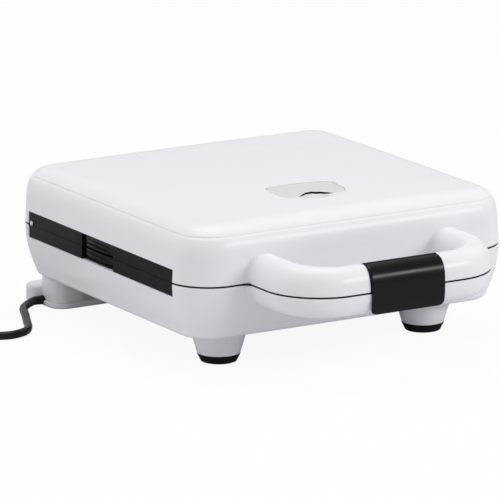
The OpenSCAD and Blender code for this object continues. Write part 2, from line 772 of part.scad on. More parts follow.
// ---- mains lead: hand-laid route over the table, then a coil put away beside the toaster
lead_r = lead_d / 2;
lead_route = [
    [lead_d - store_half_w, exit_y, exit_z], [-store_half_w, exit_y, exit_z],
    [-store_half_w - lead_d, exit_y, exit_z], [-149, 169, 3.9], [-156, 163, 3.5],
    [-162, 155, 3.5], [-170, 137, 3.5], [-179, 118, 3.5], [-187, 101, 3.5],
    [-196, 90, 3.5], [-211, 85, 3.5], [-225, 89, 3.5], [-239, 97, 3.5],
    [-253, 105, 3.5], [-267, 113, 3.5], [-281, 121, 3.5]
];
route_steps = 4;
module lead_tube(path, sides) {
    n = len(path);
    skin([for (k = [0:n - 1])
        let (t = tangent(path, k), u = side_of(t), v = cross(t, u))
        [for (j = [0:sides - 1]) let (a = -360 * j / sides)
            path[k] + lead_r * (u * cos(a) + v * sin(a))]]);
}
function unit(v) = v / norm(v);
function tangent(p, k) =
    unit(p[min(k + 1, len(p) - 1)] - p[max(k - 1, 0)]);
function side_of(t) = unit(cross([0, 0, 1], t));
// Smooth curve through the points of a route
function catmull(a, b, c, d, t) =
    0.5 * (2 * b + (c - a) * t + (2 * a - 5 * b + 4 * c - d) * t * t + (3 * b - a - 3 * c + d) * t * t * t);
function smooth_route(p, n) = concat(
    [for (k = [0:len(p) - 2], i = [0:n - 1])
        catmull(p[max(k - 1, 0)], p[k], p[k + 1], p[min(k + 2, len(p) - 1)], i / n)],
    [p[len(p) - 1]]
);
module mains_lead() {
    color("#1b1b1d") lead_tube(smooth_route(lead_route, route_steps), 8);
}

// The coil winds in on the table, climbs one layer where it turns back, and winds out on top.
coil_start = 240;
lead_end = lead_route[len(lead_route) - 1];
coil_from = lead_end + lead_d * [sin(coil_start), -cos(coil_start), 0];
coil_turns = 1230 / 360;
coil_half = coil_turns / 2;
coil_out_r = coil_r + coil_pitch * coil_half / 2;
coil_mid = [coil_from.x, coil_from.y] - coil_out_r * [cos(coil_start), sin(coil_start)];
coil_layer = coil_pitch;
loop_rings = 24;
function coil_at(t) =
    let (r = coil_out_r - coil_pitch * (coil_half - abs(t - coil_half)), a = coil_start - 360 * t)
    [
        coil_mid.x + r * cos(a),
        coil_mid.y + r * sin(a),
        lead_r + coil_layer * smooth((t - coil_half) / 0.5 + 0.5)
    ];
coil_count = ceil(coil_turns * loop_rings);
coil_points = [for (k = [0:coil_count]) coil_at(coil_turns * k / coil_count)];
coil_end = coil_points[coil_count];
coil_path = concat([lead_end], coil_points, [coil_end + [lead_d, 0, 0]]);
// Least gap between turns, measured between points at least two thirds of a turn apart
coil_gap = min([for (i = [0:coil_count], j = [i + 16:coil_count])
    norm(coil_points[i] - coil_points[j])]) - lead_d;
echo(least_gap_of_coil_mm = coil_gap);
module lead_coil() {
    color("#1b1b1d") lead_tube(coil_path, 6);
}
tie_w = 5;
module lead_tie() {
    // The tie sits at the coil's right side, round the turns that pass there.
    lo = coil_out_r - coil_pitch * coil_half - lead_r - slack;
    hi = coil_out_r - coil_pitch * coil_start / 360 + lead_r + slack;
    w = hi - lo;
    h = coil_layer + lead_d;
    color("#2b2b2e") translate([coil_mid.x + (lo + hi) / 2, coil_mid.y, 0]) difference() {
        translate([-w / 2 - 1.5, -tie_w / 2, 0.1]) cube([w + 3, tie_w, h + 2.2]);
        translate([-w / 2, -tie_w, -1]) cube([w, 2 * tie_w, h + 2]);
    }
}

// ---- three-pin plug, lying on its back with its pins up
plug_x = coil_end.x + lead_d;
plug_y = coil_end.y;
module plug_body() {
    color("#1b1b1d") translate([plug_x, plug_y, 0]) {
        translate([12 + plug_a / 2, 0, 0]) linear_extrude(plug_h) plate_outline(plug_a, plug_a, 8);
        translate([0, 0, coil_end.z]) rotate([0, 90, 0]) cylinder(r1 = lead_r + 1, r2 = 7, h = 13);
    }
}
module plug_pins() {
    color("#b08d4a") translate([plug_x + 12, plug_y, plug_h]) {
        for (s = [-1, 1]) translate([8.8, s * 11.1 - 2, 0]) cube([6.4, 4, 17.7]);
        translate([34.2 - 2, -4, 0]) cube([4, 8, 22.7]);
    }
}

// ---- hinge pins, screws and studs of the base
module hinge_pins() {
    color("#c9cbce") for (s = [-1, 1]) translate([s * hinge_x, hinge_y, hinge_z]) {
        rod_x(hinge_pin_r, 2 * hinge_reach);
        for (k = [-1, 1]) translate([k * (hinge_reach + pin_head_t / 2), 0, 0])
            rod_x(hinge_pin_r + 1, pin_head_t);
    }
}
module screws(z) {
    at_posts() translate([0, 0, z]) difference() {
        union() {
            cylinder(r = screw_head_r, h = screw_head_h);
            translate([0, 0, screw_head_h]) cylinder(r = screw_r - 0.02, h = screw_len);
        }
        translate([0, 0, -eps]) cylinder(r = 1.6, h = 1.4, $fn = 6);
    }
}
module base_screws() {
    color("#9a9da1") screws(base_post_z - head_depth - screw_head_h);
}
module terminal_block() {
    color("#efe9dc") translate([-terminal_x - block_w + 10, element_rear + terminal_len + 2, floor_z]) difference() {
        cube([block_w, block_d, block_h]);
        for (k = [0:2]) translate([block_w * (2 * k + 1) / 6, block_d / 2, block_h - clamp_depth])
            cylinder(r = clamp_r, h = block_h);
    }
}
block_w = 46;
block_d = 18;
block_h = 14;
clamp_r = 3;
clamp_depth = 8;
fuse_r = 2.4;
fuse_len = 37;
clip_w = 3;
module thermal_fuse() {
    color("#d8d2c0") translate([terminal_x, rear_y - rear_r, floor_z + 3 * fuse_r]) {
        rotate([0, 90, 0]) cylinder(r = fuse_r, h = fuse_len, center = true);
        for (s = [-1, 1]) translate([s * fuse_len / 3 - clip_w / 2, -fuse_r, -3 * fuse_r])
            cube([clip_w, 2 * fuse_r, 3 * fuse_r]);
    }
}
// ======== lid ========
module upside_down() {
    translate([0, 0, 2 * parting_z]) scale([1, 1, -1]) children();
}
lens_tilt = atan(2 * crown_h * (mid_y - lens_y) / pow(body_d / 2, 2));
lens_top = lid_top_z + crown([0, lens_y]);
module at_lens() {
    translate([0, lens_y, lens_top]) rotate([lens_tilt, 0, 0]) children();
}
// Window outline: a slanting rear edge, and an arch between two lobes at the front
lens_slant = 7;
lens_r = 3.5;
module lens_outline(i) {
    x = lens_w / 2;
    y = lens_d / 2;
    offset(r = lens_r - i) offset(delta = -lens_r) difference() {
        polygon([[-x + 3, y], [x, y - lens_slant], [x - 5, -y], [-x, -y + 2]]);
        translate([-lens_arch / 2, -y]) scale([1.4 * lens_arch, lens_arch]) circle(1);
    }
}
lamp_x = 10;
board_w = 92;
board_d = 26;
board_z = lid_top_z - 18;
board_post_r = 3.5;
module lid_shell() {
    color("whitesmoke") difference() {
        union() {
            difference() {
                union() {
                    skin(lid_rings(0, lid_rim_z));
                    handle_half(handle_up, true);
                }
                skin(lid_rings(wall, lid_rim_z - 1, inner_steps));
            }
            intersection() {
                skin(lid_rings(0, lid_rim_z + 1));
                at_posts() translate([0, 0, lid_post_z]) cylinder(r = post_r + 1, h = 60, $fn = 24);
            }
            intersection() {
                skin(lid_rings(0, lid_rim_z + 1));
                for (s = [-1, 1]) translate([s * (board_w / 2 - board_post_r), lens_y, board_z + 1.6])
                    cylinder(r = board_post_r, h = shoulder_h, $fn = 16);
            }
        }
        all_round_cut(lid_rim_z - cut_room);
        handle_channel(handle_up);
        side_openings();
        hinge_room();
        along_x(latch_w + 1.6) translate([bar_y - 40, parting_z]) square([40 + barrel_r - 0.4, 40]);
        translate([0, pivot.x, pivot.y]) rod_x(latch_pin_r + pin_clear, latch_w + 12);
        at_posts() translate([0, 0, lid_post_z - 1]) cylinder(r = screw_r + 0.1, h = 14, $fn = 16);
        at_lens() translate([0, 0, -8]) linear_extrude(10) lens_outline(0);
        at_lens() translate([-lens_arch / 2, -lens_d / 2, 15]) scale([1, 0.45, 0.75]) sphere(r = 23, $fn = 28);
    }
}
module lid_tray() {
    color("#242427") {
        difference() {
            upside_down() tray_body();
            for (k = [-1, 1], s = [-1, 1])
                translate([s * hinge_x + k * (lid_knuckle_w + base_knuckle_w + 1) / 2, hinge_y, hinge_z])
                    rod_x(knuckle_r + slack, base_knuckle_w + 1);
            at_posts() translate([0, 0, lid_face_z - 1])
                cylinder(r = screw_head_r + slack, h = screw_head_h + 1.1);
            on_both_sides() translate([band_x - 1.2, stud_y, stud_z]) rod_x(1.02, 2.4);
        }
        for (s = [-1, 1]) translate([s * hinge_x, hinge_y, hinge_z])
            knuckle(lid_knuckle_w, lid_face_z, lid_face_z + tray_t);
    }
}
module upper_plate() {
    color("#2e2d2f") upside_down() plate_deck();
}
module upper_floors() {
    color("#2e2d2f") upside_down() pocket_floors();
}
module upper_reflector() {
    color("#c4c6c8") upside_down() pan_body();
}
module upper_element() {
    color("#8d8c8a") upside_down() element_body();
}
module upper_saddles() {
    color("#b9babd") upside_down() saddle_bodies();
}
module upper_handle_insert() {
    w = channel_w - 2 * slack;
    color("#1f1e21") difference() {
        upside_down() handle_insert();
        translate([-latch_w / 2 - 1, bar_y - w, parting_z]) cube([latch_w + 2, w / 2 + 2, 10]);
    }
}
module lid_screws() {
    color("#9a9da1") screws(lid_face_z + 0.1);
}
module indicator_window() {
    color("#d9d5d2") at_lens() translate([0, 0, -wall - 0.2]) linear_extrude(wall) lens_outline(slack);
}
module lamp(s) {
    translate([s * lamp_x, lens_y, board_z + 1.6]) {
        cylinder(r = 3, h = 6);
        translate([0, 0, 6]) sphere(r = 3);
    }
}
module power_lamp() {
    color("#c8412e") lamp(-1);
}
module ready_lamp() {
    color("#3f9a4e") lamp(1);
}
module lamp_board() {
    color("#9c7b3c") translate([0, lens_y, board_z]) linear_extrude(1.6) plate_outline(board_w, board_d, 3);
}
module thermostat() {
    color("#cfcbc2") translate([40, mid_y - 20, 2 * parting_z - pan_z]) {
        cylinder(r = 9, h = 8);
        for (s = [-1, 1]) translate([s * 5 - 0.4, -3, 8]) cube([0.8, 6, 7]);
    }
}
stud_r = 2.3;
stud_y = band_y1 - 4.5;
stud_z = parting_z + 1.4;
// Bright domed studs; their stems sit in the lid's bands, the domes stand clear of the base's
module side_studs() {
    color("#d5d7da") on_both_sides() translate([band_x - 1, stud_y, stud_z]) rotate([0, 90, 0]) {
        cylinder(r = 1, h = 1.3);
        translate([0, 0, 1.2]) cylinder(r1 = stud_r, r2 = stud_r - 1, h = 0.75);
    }
}
module latch_pin() {
    color("#c9cbce") translate([0, pivot.x, pivot.y]) rod_x(latch_pin_r, latch_w + 8);
}

// ======== latch ========
latch_corner_r = 4.5;
module latch() {
    color("#201f23") difference() {
        union() {
            intersection() {
                along_x(latch_w) polygon(concat(latch_arc(0), reversed(latch_arc(latch_t))));
                rotate([90, 0, 0]) linear_extrude(4 * body_d, center = true)
                    translate([0, parting_z - latch_drop + 50])
                        plate_outline(latch_w, 100, latch_corner_r);
            }
            translate([0, pivot.x, pivot.y]) rod_x(barrel_r, latch_w);
            along_x(tongue_w) pivot_band(tongue_r0, tongue_r1, bar_y - latch_out + 1, bar_y - 10);
            for (x = [-24, 0, 24]) translate([x, 0, 0])
                along_x(2) polygon([
                    pivot, [pivot.x, pivot.y + 1], [bar_y - latch_out * 0.8, parting_z + 15],
                    [bar_y - latch_out + 1.5, parting_z + 4], [bar_y - latch_out + 4.5, parting_z + 4],
                    [bar_y - latch_out * 0.55, parting_z + 13]
                ]);
        }
        translate([0, pivot.x, pivot.y]) rod_x(latch_pin_r + pin_clear, latch_w + 2);
    }
}

// ======== plate releases ========
tongue_x = plate_w / 2 + lug_reach - release_travel + 0.6;
tab_x = -half_w + band_recess + 0.3;
tab_back = 1.6;
tab_wall = 2.4;
tab_z0 = parting_z - band_half_h + 1;
tab_z1 = tray_top - slack;
lip_r = 165;
lip_t = 2.8;
// A plate in the recess with a tongue over the plate's lug and two curved lips to pull it by
module release_tab() {
    tab_len = release_len - 2 * slack - 1;
    tab_mid = release_y0 + release_len / 2;
    translate([tab_x + tab_back, mid_y - lug_w / 2, lug_z + slack])
        cube([-tongue_x - tab_x - tab_back, lug_w, tab_t - slack]);
    translate([tab_x + tab_back, tab_mid - tab_len / 2, tab_z0]) cube([tab_wall, tab_len, tab_z1 - tab_z0]);
    for (z = [tab_z1 - lip_t, tab_z1 - 2 * lip_t - 1]) intersection() {
        translate([tab_x + lip_r, tab_mid, z]) cylinder(r = lip_r, h = lip_t, $fn = 240);
        translate([tab_x - 1, tab_mid - tab_len / 2, z]) cube([tab_back + tab_wall, tab_len, lip_t]);
    }
}
module lower_release_tab() {
    color("#0f0f11") release_tab();
}
module upper_release_tab() {
    color("#0f0f11") upside_down() release_tab();
}

base_shell();
foot_cones();
base_tray();
lower_plate();
lower_floors();
lower_reflector();
lower_element();
lower_saddles();
lower_handle_insert();
foot_pads();
lead_store();
lead_gland();
mains_lead();
lead_coil();
lead_tie();
plug_body();
plug_pins();
hinge_pins();
base_screws();
terminal_block();
thermal_fuse();
lid_shell();
lid_tray();
upper_plate();
upper_floors();
upper_reflector();
upper_element();
upper_saddles();
upper_handle_insert();
lid_screws();
indicator_window();
power_lamp();
ready_lamp();
lamp_board();
thermostat();
latch_pin();
side_studs();
latch();
lower_release_tab();
upper_release_tab();
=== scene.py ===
"""Countertop sandwich toaster with a hinged lid, a loop handle with a latch and a mains lead.

Sizes are in millimetres in the part's own frame (+X right, -Y front, +Z up) and become metres in the meshes.
"""

import logging
import math
from dataclasses import dataclass, field
from enum import Enum
from typing import Any, Optional, Sequence

import bmesh
import bpy
import numpy as np
from mathutils import Matrix

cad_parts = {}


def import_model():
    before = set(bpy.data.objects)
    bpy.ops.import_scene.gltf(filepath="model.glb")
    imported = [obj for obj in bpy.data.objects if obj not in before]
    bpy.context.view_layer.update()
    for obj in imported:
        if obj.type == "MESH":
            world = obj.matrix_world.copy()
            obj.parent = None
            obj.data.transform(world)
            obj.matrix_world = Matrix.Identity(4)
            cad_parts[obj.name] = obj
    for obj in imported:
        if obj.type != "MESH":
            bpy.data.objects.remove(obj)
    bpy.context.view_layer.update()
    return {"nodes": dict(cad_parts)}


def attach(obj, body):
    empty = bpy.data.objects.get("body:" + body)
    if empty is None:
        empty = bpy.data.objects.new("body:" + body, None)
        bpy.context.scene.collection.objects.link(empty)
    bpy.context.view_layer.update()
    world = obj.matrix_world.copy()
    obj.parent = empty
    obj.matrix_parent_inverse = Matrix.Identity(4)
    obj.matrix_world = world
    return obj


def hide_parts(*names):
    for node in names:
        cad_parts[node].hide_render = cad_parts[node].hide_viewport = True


LOG = logging.getLogger("toaster")
MM = 0.001
# Ends of the body in Y, half its width and depth, its middle in Y and the height at which lid and base part.
FRONT = -115.0
REAR = 185.0
HALF_W = 155.0
HALF_D = 150.0
MID_Y = 35.0
PARTING = 76.0
# The lid's upright side and its draft, the shoulder's height, draw-in and power, and the crown's height.
SIDE_H = 18.0
DRAFT = 1.1
SHOULDER_H = 29.0
SHOULDER_IN = 24.0
SHOULDER_POWER = 2.6
CROWN_H = 4.6
# Radius of the arc of the base's side, wall of the white shells and places of the two feet.
BASE_ARC = 95.0
SHELL_WALL = 2.6
FEET = tuple((s * 99.0, FRONT + 53.7, 0) for s in (-1, 1))

Array = np.ndarray
Pair = tuple[float, float]
# Points, point numbers of each quad, and further faces with any number of points.
Part = tuple[Array, Array, list]


class Body(Enum):
    """The CAD bodies that pieces ride on."""

    BASE = "base"
    LID = "lid"
    LATCH = "latch"
    LOWER_TAB = "lower_release"
    UPPER_TAB = "upper_release"


# ---------------------------------------------------------------- materials


def srgb(code: str) -> tuple[float, float, float, float]:
    """Turns an sRGB hex colour into linear RGBA.

    Args:
        code: six hex digits with a leading hash.
    Returns:
        The linear colour with alpha 1.
    """
    parts = [int(code[k : k + 2], 16) / 255 for k in (1, 3, 5)]
    lin = [c / 12.92 if c <= 0.04045 else ((c + 0.055) / 1.055) ** 2.4 for c in parts]
    return (lin[0], lin[1], lin[2], 1.0)


def add(tree: Any, kind: str, settings: Optional[dict] = None, links: Optional[dict] = None) -> Any:
    """Adds one shader node.

    Args:
        tree: the node tree.
        kind: the node's type name after ShaderNode.
        settings: attribute names or input names or numbers, with their values.
        links: input names or numbers, with the output socket that feeds each.
    Returns:
        The new node.
    """
    node = tree.nodes.new("ShaderNode" + kind)
    for key, value in (settings or {}).items():
        if isinstance(key, str) and hasattr(node, key):
            setattr(node, key, value)
        else:
            node.inputs[key].default_value = value
    for key, socket in (links or {}).items():
        tree.links.new(socket, node.inputs[key])
    return node


def empty_tree(owner: Any) -> Any:
    """Gives a material or a world an empty node tree.

    Args:
        owner: the material or world.
    Returns:
        Its node tree.
    """
    owner.use_nodes = True
    owner.node_tree.nodes.clear()
    return owner.node_tree


def noise(tree: Any, size_mm: float, vector: Any, **inputs: float) -> Any:
    """The output of a noise texture whose features are about size_mm wide."""
    return add(tree, "TexNoise", {"Scale": 1000 / size_mm, **inputs}, {"Vector": vector}).outputs["Fac"]


def tint(tree: Any, shader: Any, colour: str, value: Any, low: float, high: float) -> None:
    """Lays a colour over a shader's base colour where a value is high.

    Args:
        tree: the node tree.
        shader: the shader.
        colour: sRGB hex colour.
        value: the output that holds the value.
        low: value up to which the colour is absent.
        high: value from which it is full.
    """
    mask = add(tree, "MapRange", {"From Min": low, "From Max": high}, {"Value": value})
    under = shader.inputs["Base Color"].links[0].from_socket
    mixed = add(tree, "Mix", {"data_type": "RGBA", 7: srgb(colour)}, {0: mask.outputs["Result"], 6: under})
    tree.links.new(mixed.outputs[2], shader.inputs["Base Color"])


def seen_directly(tree: Any) -> Any:
    """Tells what the camera sees, also through a clear piece, from what other rays meet.

    Args:
        tree: the node tree.
    Returns:
        An output that is 1 for the first and 0 for the second.
    """
    ray = add(tree, "LightPath").outputs
    inputs = {0: ray["Is Camera Ray"], 1: ray["Is Transmission Ray"]}
    return add(tree, "Math", {"operation": "MAXIMUM"}, inputs).outputs[0]


@dataclass(frozen=True)
class Finish:
    """A surface finish: a colour with a second tone, gloss with its unevenness, and a fine relief.

    Attributes:
        name: name of the material.
        slot: a slot name that is not used; finishes of CAD nodes alone leave it empty.
        colour: sRGB hex colour.
        second: the tone that patches of it take.
        rough: roughness, and how far patches differ from it either way.
        grain: width of the relief's features and their height, in millimetres.
        patch: width of the patches in millimetres.
        stretch: factors on the grain's coordinates; 0.1 makes it ten times as long along that axis.
    """

    name: str
    slot: str
    colour: str
    second: str
    rough: Pair
    grain: Pair
    patch: float
    metallic: float = 0.0
    ior: float = 1.5
    specular: float = 0.5
    transmission: float = 0.0
    stretch: tuple[float, float, float] = (1.0, 1.0, 1.0)

    def extra(self, tree: Any, coords: Any, shader: Any) -> None:
        """Adds nodes of a special finish; the plain finish adds none."""

    def material(self) -> Any:
        """The material, which is made at its first use."""
        return bpy.data.materials.get(self.name) or self.build()

    def build(self) -> Any:
        """Makes the material: noise in patches drives tone and gloss, a finer noise drives the relief.

        Returns:
            The Blender material.
        """
        mat = bpy.data.materials.new(self.name)
        tree = empty_tree(mat)
        coords = add(tree, "TexCoord").outputs["Object"]
        place = add(tree, "Mapping", {"Scale": self.stretch}, {"Vector": coords}).outputs["Vector"]
        patch = noise(tree, self.patch, coords, Detail=2.0)
        tones = {"data_type": "RGBA", 6: srgb(self.colour), 7: srgb(self.second)}
        tone = add(tree, "Mix", tones, {0: patch})
        middle, spread = self.rough
        span = {"From Min": 0.3, "From Max": 0.7}
        span |= {"To Min": max(middle - spread, 0.02), "To Max": min(middle + spread, 1.0)}
        rough = add(tree, "MapRange", span, {"Value": patch})
        width, height = self.grain
        fine = noise(tree, width, place, Detail=3.0, Roughness=0.55)
        bump = add(tree, "Bump", {"Strength": 1.0, "Distance": height * MM}, {"Height": fine})
        values = {"Metallic": self.metallic, "IOR": self.ior, "Specular IOR Level": self.specular}
        values["Transmission Weight"] = self.transmission
        links = {"Base Color": tone.outputs[2], "Roughness": rough.outputs["Result"]}
        links["Normal"] = bump.outputs["Normal"]
        shader = add(tree, "BsdfPrincipled", values, links)
        self.extra(tree, coords, shader)
        add(tree, "OutputMaterial", links={"Surface": shader.outputs["BSDF"]})
        return mat


@dataclass(frozen=True)
class FlakedCoating(Finish):
    """Sprayed non-stick coating with light flakes, drawn coarser than real so that they show."""

    flake: str = "#6A6768"
    flake_mm: float = 0.6

    def extra(self, tree: Any, coords: Any, shader: Any) -> None:
        """Lays flakes over the colour where a cell pattern's value is high.

        Args:
            tree: the node tree.
            coords: the output with the object's coordinates.
            shader: the shader.
        """
        scale = {"Scale": 1000 / self.flake_mm, "Randomness": 1.0}
        cells = add(tree, "TexVoronoi", scale, {"Vector": coords})
        pick = add(tree, "SeparateColor", links={"Color": cells.outputs["Color"]})
        tint(tree, shader, self.flake, pick.outputs["Red"], 0.9, 0.97)


@dataclass(frozen=True)
class HeatTinted(Finish):
    """Sheet or tube with a heat tint in large patches."""

    heat: str = "#B9A583"
    heat_mm: float = 60.0

    def extra(self, tree: Any, coords: Any, shader: Any) -> None:
        """Lays the tint over large patches."""
        tint(tree, shader, self.heat, noise(tree, self.heat_mm, coords, Detail=1.0), 0.45, 0.7)


# Moulded polypropylene, polished tool: cool white, clear reflections, a trace of orange peel.
WHITE_SHELL = Finish(
    "Moulded_polypropylene_glossy", "white_shell", "#EDECF1", "#EAE9EE", (0.24, 0.03), (3.0, 0.005), 60,
    ior=1.49, specular=0.22,
)  # fmt: skip
# Glass-filled polyester, spark-eroded tool: near black, fine even grain, dull.
BLACK_TRAY = Finish(
    "Moulded_polyester_eroded", "", "#141316", "#100F12", (0.45, 0.05), (0.7, 0.03), 30,
    ior=1.57, specular=0.12,
)  # fmt: skip
# Polyester with a satin tool: black, soft broad highlight.
BLACK_SATIN = Finish(
    "Moulded_polyester_satin", "black_satin", "#08070A", "#0B0A0D", (0.21, 0.03), (0.6, 0.01), 30,
    ior=1.57, specular=0.17,
)  # fmt: skip
# Nylon from a polished tool: clear highlights on black.
BLACK_GLOSS = Finish(
    "Moulded_nylon_polished", "black_gloss", "#040405", "#060607", (0.16, 0.03), (2.0, 0.006), 25,
    ior=1.53, specular=0.15,
)  # fmt: skip
# Solid rubber, matt with a dusty bloom.
RUBBER = Finish(
    "Moulded_rubber_matt", "black_rubber", "#0E0E0F", "#141415", (0.7, 0.06), (0.8, 0.05), 12,
    ior=1.52, specular=0.2,
)  # fmt: skip
# Extruded soft PVC: smooth, slight sheen, faint drag marks.
PVC = Finish(
    "Extruded_pvc_jacket", "lead_jacket", "#0B0B0C", "#0F0F10", (0.3, 0.05), (2.5, 0.02), 20,
    ior=1.53, specular=0.25,
)  # fmt: skip
# Sprayed non-stick coating on die-cast aluminium: dark, slightly pebbled, flaked.
NONSTICK = FlakedCoating(
    "Die_cast_aluminium_nonstick", "nonstick_plate", "#242325", "#2B2A2C", (0.38, 0.06), (1.2, 0.03), 50,
    ior=1.45,
)  # fmt: skip
# Rolled aluminised sheet: bright, streaked along the rolling direction, tinted by heat.
SHEET = HeatTinted(
    "Rolled_aluminised_sheet", "", "#C6C8CA", "#B8BABC", (0.34, 0.06), (1.4, 0.01), 35,
    metallic=1.0, stretch=(0.1, 1, 1),
)  # fmt: skip
# Annealed steel tube: dull grey with brown heat tint.
SHEATH = HeatTinted(
    "Annealed_steel_sheath", "", "#8B8A88", "#7A7977", (0.5, 0.08), (1.0, 0.02), 20,
    metallic=1.0, heat="#8C7560",
)  # fmt: skip
# Turned brass, polished, with fine turning marks.
BRASS = Finish(
    "Turned_brass_polished", "plug_brass", "#D9B56A", "#CFA95C", (0.22, 0.04), (0.8, 0.004), 10,
    metallic=1.0, stretch=(1, 6, 1),
)  # fmt: skip
# Bright zinc on steel, slightly uneven.
ZINC = Finish(
    "Zinc_plated_steel_bright", "bright_pin", "#D6D8DB", "#C9CCD0", (0.24, 0.05), (0.8, 0.006), 8,
    metallic=1.0,
)  # fmt: skip
# Unglazed steatite: off-white, dry, finely pitted.
CERAMIC = Finish(
    "Pressed_steatite_unglazed", "", "#E9E3D5", "#DED7C6", (0.72, 0.06), (0.5, 0.03), 12, ior=1.55
)
# Polycarbonate from a polished tool: pale grey with clear reflections, only a little see-through.
WINDOW = Finish(
    "Moulded_polycarbonate_tinted", "smoked_window", "#EBE8E9", "#E6E3E4", (0.12, 0.03), (3.0, 0.01), 20,
    ior=1.58, transmission=0.1,
)  # fmt: skip
# Tinted acrylic lamp caps.
RED_LAMP, GREEN_LAMP = (
    Finish(name, "", colour, second, (0.15, 0.03), (1.0, 0.004), 6, ior=1.49, transmission=0.4)
    for name, colour, second in (
        ("Moulded_acrylic_red", "#B83B26", "#A83120"),
        ("Moulded_acrylic_green", "#3C8F4A", "#347F41"),
    )
)
# Paper laminate board: brown, fibrous, dull.
BOARD = Finish(
    "Pressed_paper_laminate", "", "#9A7A3E", "#8C6D35", (0.55, 0.05), (0.6, 0.02), 10, stretch=(0.2, 1, 1)
)

# CAD nodes that stay, by finish.
KEPT = {
    BLACK_TRAY: ("base_tray", "lid_tray", "lower_handle_insert", "upper_handle_insert"),
    SHEET: ("lower_reflector", "upper_reflector", "lower_saddles", "upper_saddles"),
    SHEATH: ("lower_element", "upper_element"),
    ZINC: ("hinge_pins", "latch_pin", "base_screws", "lid_screws"),
    CERAMIC: ("terminal_block", "thermal_fuse", "thermostat"),
    RED_LAMP: ("power_lamp",),
    GREEN_LAMP: ("ready_lamp",),
    BOARD: ("lamp_board",),
}


# ---------------------------------------------------------------- mesh helpers


def xyz(*values: Any) -> Array:
    """Arrays or numbers, spread to one shape, side by side along a new last axis."""
    return np.stack(np.broadcast_arrays(*values), axis=-1)


def lifted(plan: Array, height: Any) -> Array:
    """Plan points of X and Y with their heights as Z."""
    return xyz(plan[..., 0], plan[..., 1], height)


def smooth(t: Array) -> Array:
    """Smooth step from 0 to 1: three t squared less two t cubed."""
    u = np.clip(t, 0, 1)
    return u * u * (3 - 2 * u)


def halfway(values: Array) -> Array:
    """Means of neighbouring values."""
    return (values[:-1] + values[1:]) / 2


def superellipse(angle: Array, power: float) -> tuple[Array, Array]:
    """Point of a unit superellipse: cosine and sine to the power 2/q, with their signs kept.

    Args:
        angle: the parameter in radians.
        power: the superellipse's power q.
    Returns:
        The two coordinates.
    """
    c, s = np.cos(angle), np.sin(angle)
    return np.sign(c) * np.abs(c) ** (2 / power), np.sign(s) * np.abs(s) ** (2 / power)


def between(start: Array, goal: Array, t: Array) -> Array:
    """Rows of points on the straight lines from one ring to another, at each share t."""
    return start[None] * (1 - t[:, None, None]) + goal[None] * t[:, None, None]


def sheet(rows: Array, closed: bool = False, keep: Optional[Array] = None) -> Part:
    """Quads between neighbouring rows and columns of points.

    Args:
        rows: array of rows, columns and three values.
        closed: whether the last column joins the first.
        keep: mask of quads to keep.
    Returns:
        Points, quads and no further faces.
    """
    index = np.arange(rows.shape[0] * rows.shape[1]).reshape(rows.shape[:2])
    right = np.roll(index, -1, axis=1)
    quads = np.stack([index[:-1], right[:-1], right[1:], index[1:]], axis=-1)
    if not closed:
        quads = quads[:, :-1]
    quads = quads.reshape(-1, 4) if keep is None else quads[keep]
    return rows.reshape(-1, 3), quads, []


def solid(rows: Array) -> Part:
    """Closed rows with a face over the first and the last row.

    Args:
        rows: array of rows, columns and three values.
    Returns:
        Points, quads and the two end faces.
    """
    points, quads, _ = sheet(rows, True)
    count = rows.shape[1]
    return points, quads, [list(range(count))[::-1], list(range(len(points) - count, len(points)))]


def put(name: str, data: Any) -> Any:
    """Adds an object to the scene.

    Args:
        name: its name.
        data: its mesh, lamp or camera.
    Returns:
        The object.
    """
    obj = bpy.data.objects.new(name, data)
    bpy.context.scene.collection.objects.link(obj)
    return obj


def aim(obj: Any, axes: Sequence[Any], place: Sequence[float]) -> None:
    """Stands an object at a place in metres, with its X, Y and Z axes in given directions."""
    obj.matrix_world = Matrix.Translation(place) @ Matrix(xyz(*np.array(axes)).tolist()).to_4x4()


def modify(obj: Any, kind: str, **settings: Any) -> None:
    """Adds a modifier.

    Args:
        obj: the object.
        kind: the modifier's type.
        settings: its attributes.
    """
    modifier = obj.modifiers.new(kind.lower(), kind)
    for key, value in settings.items():
        setattr(modifier, key, value)


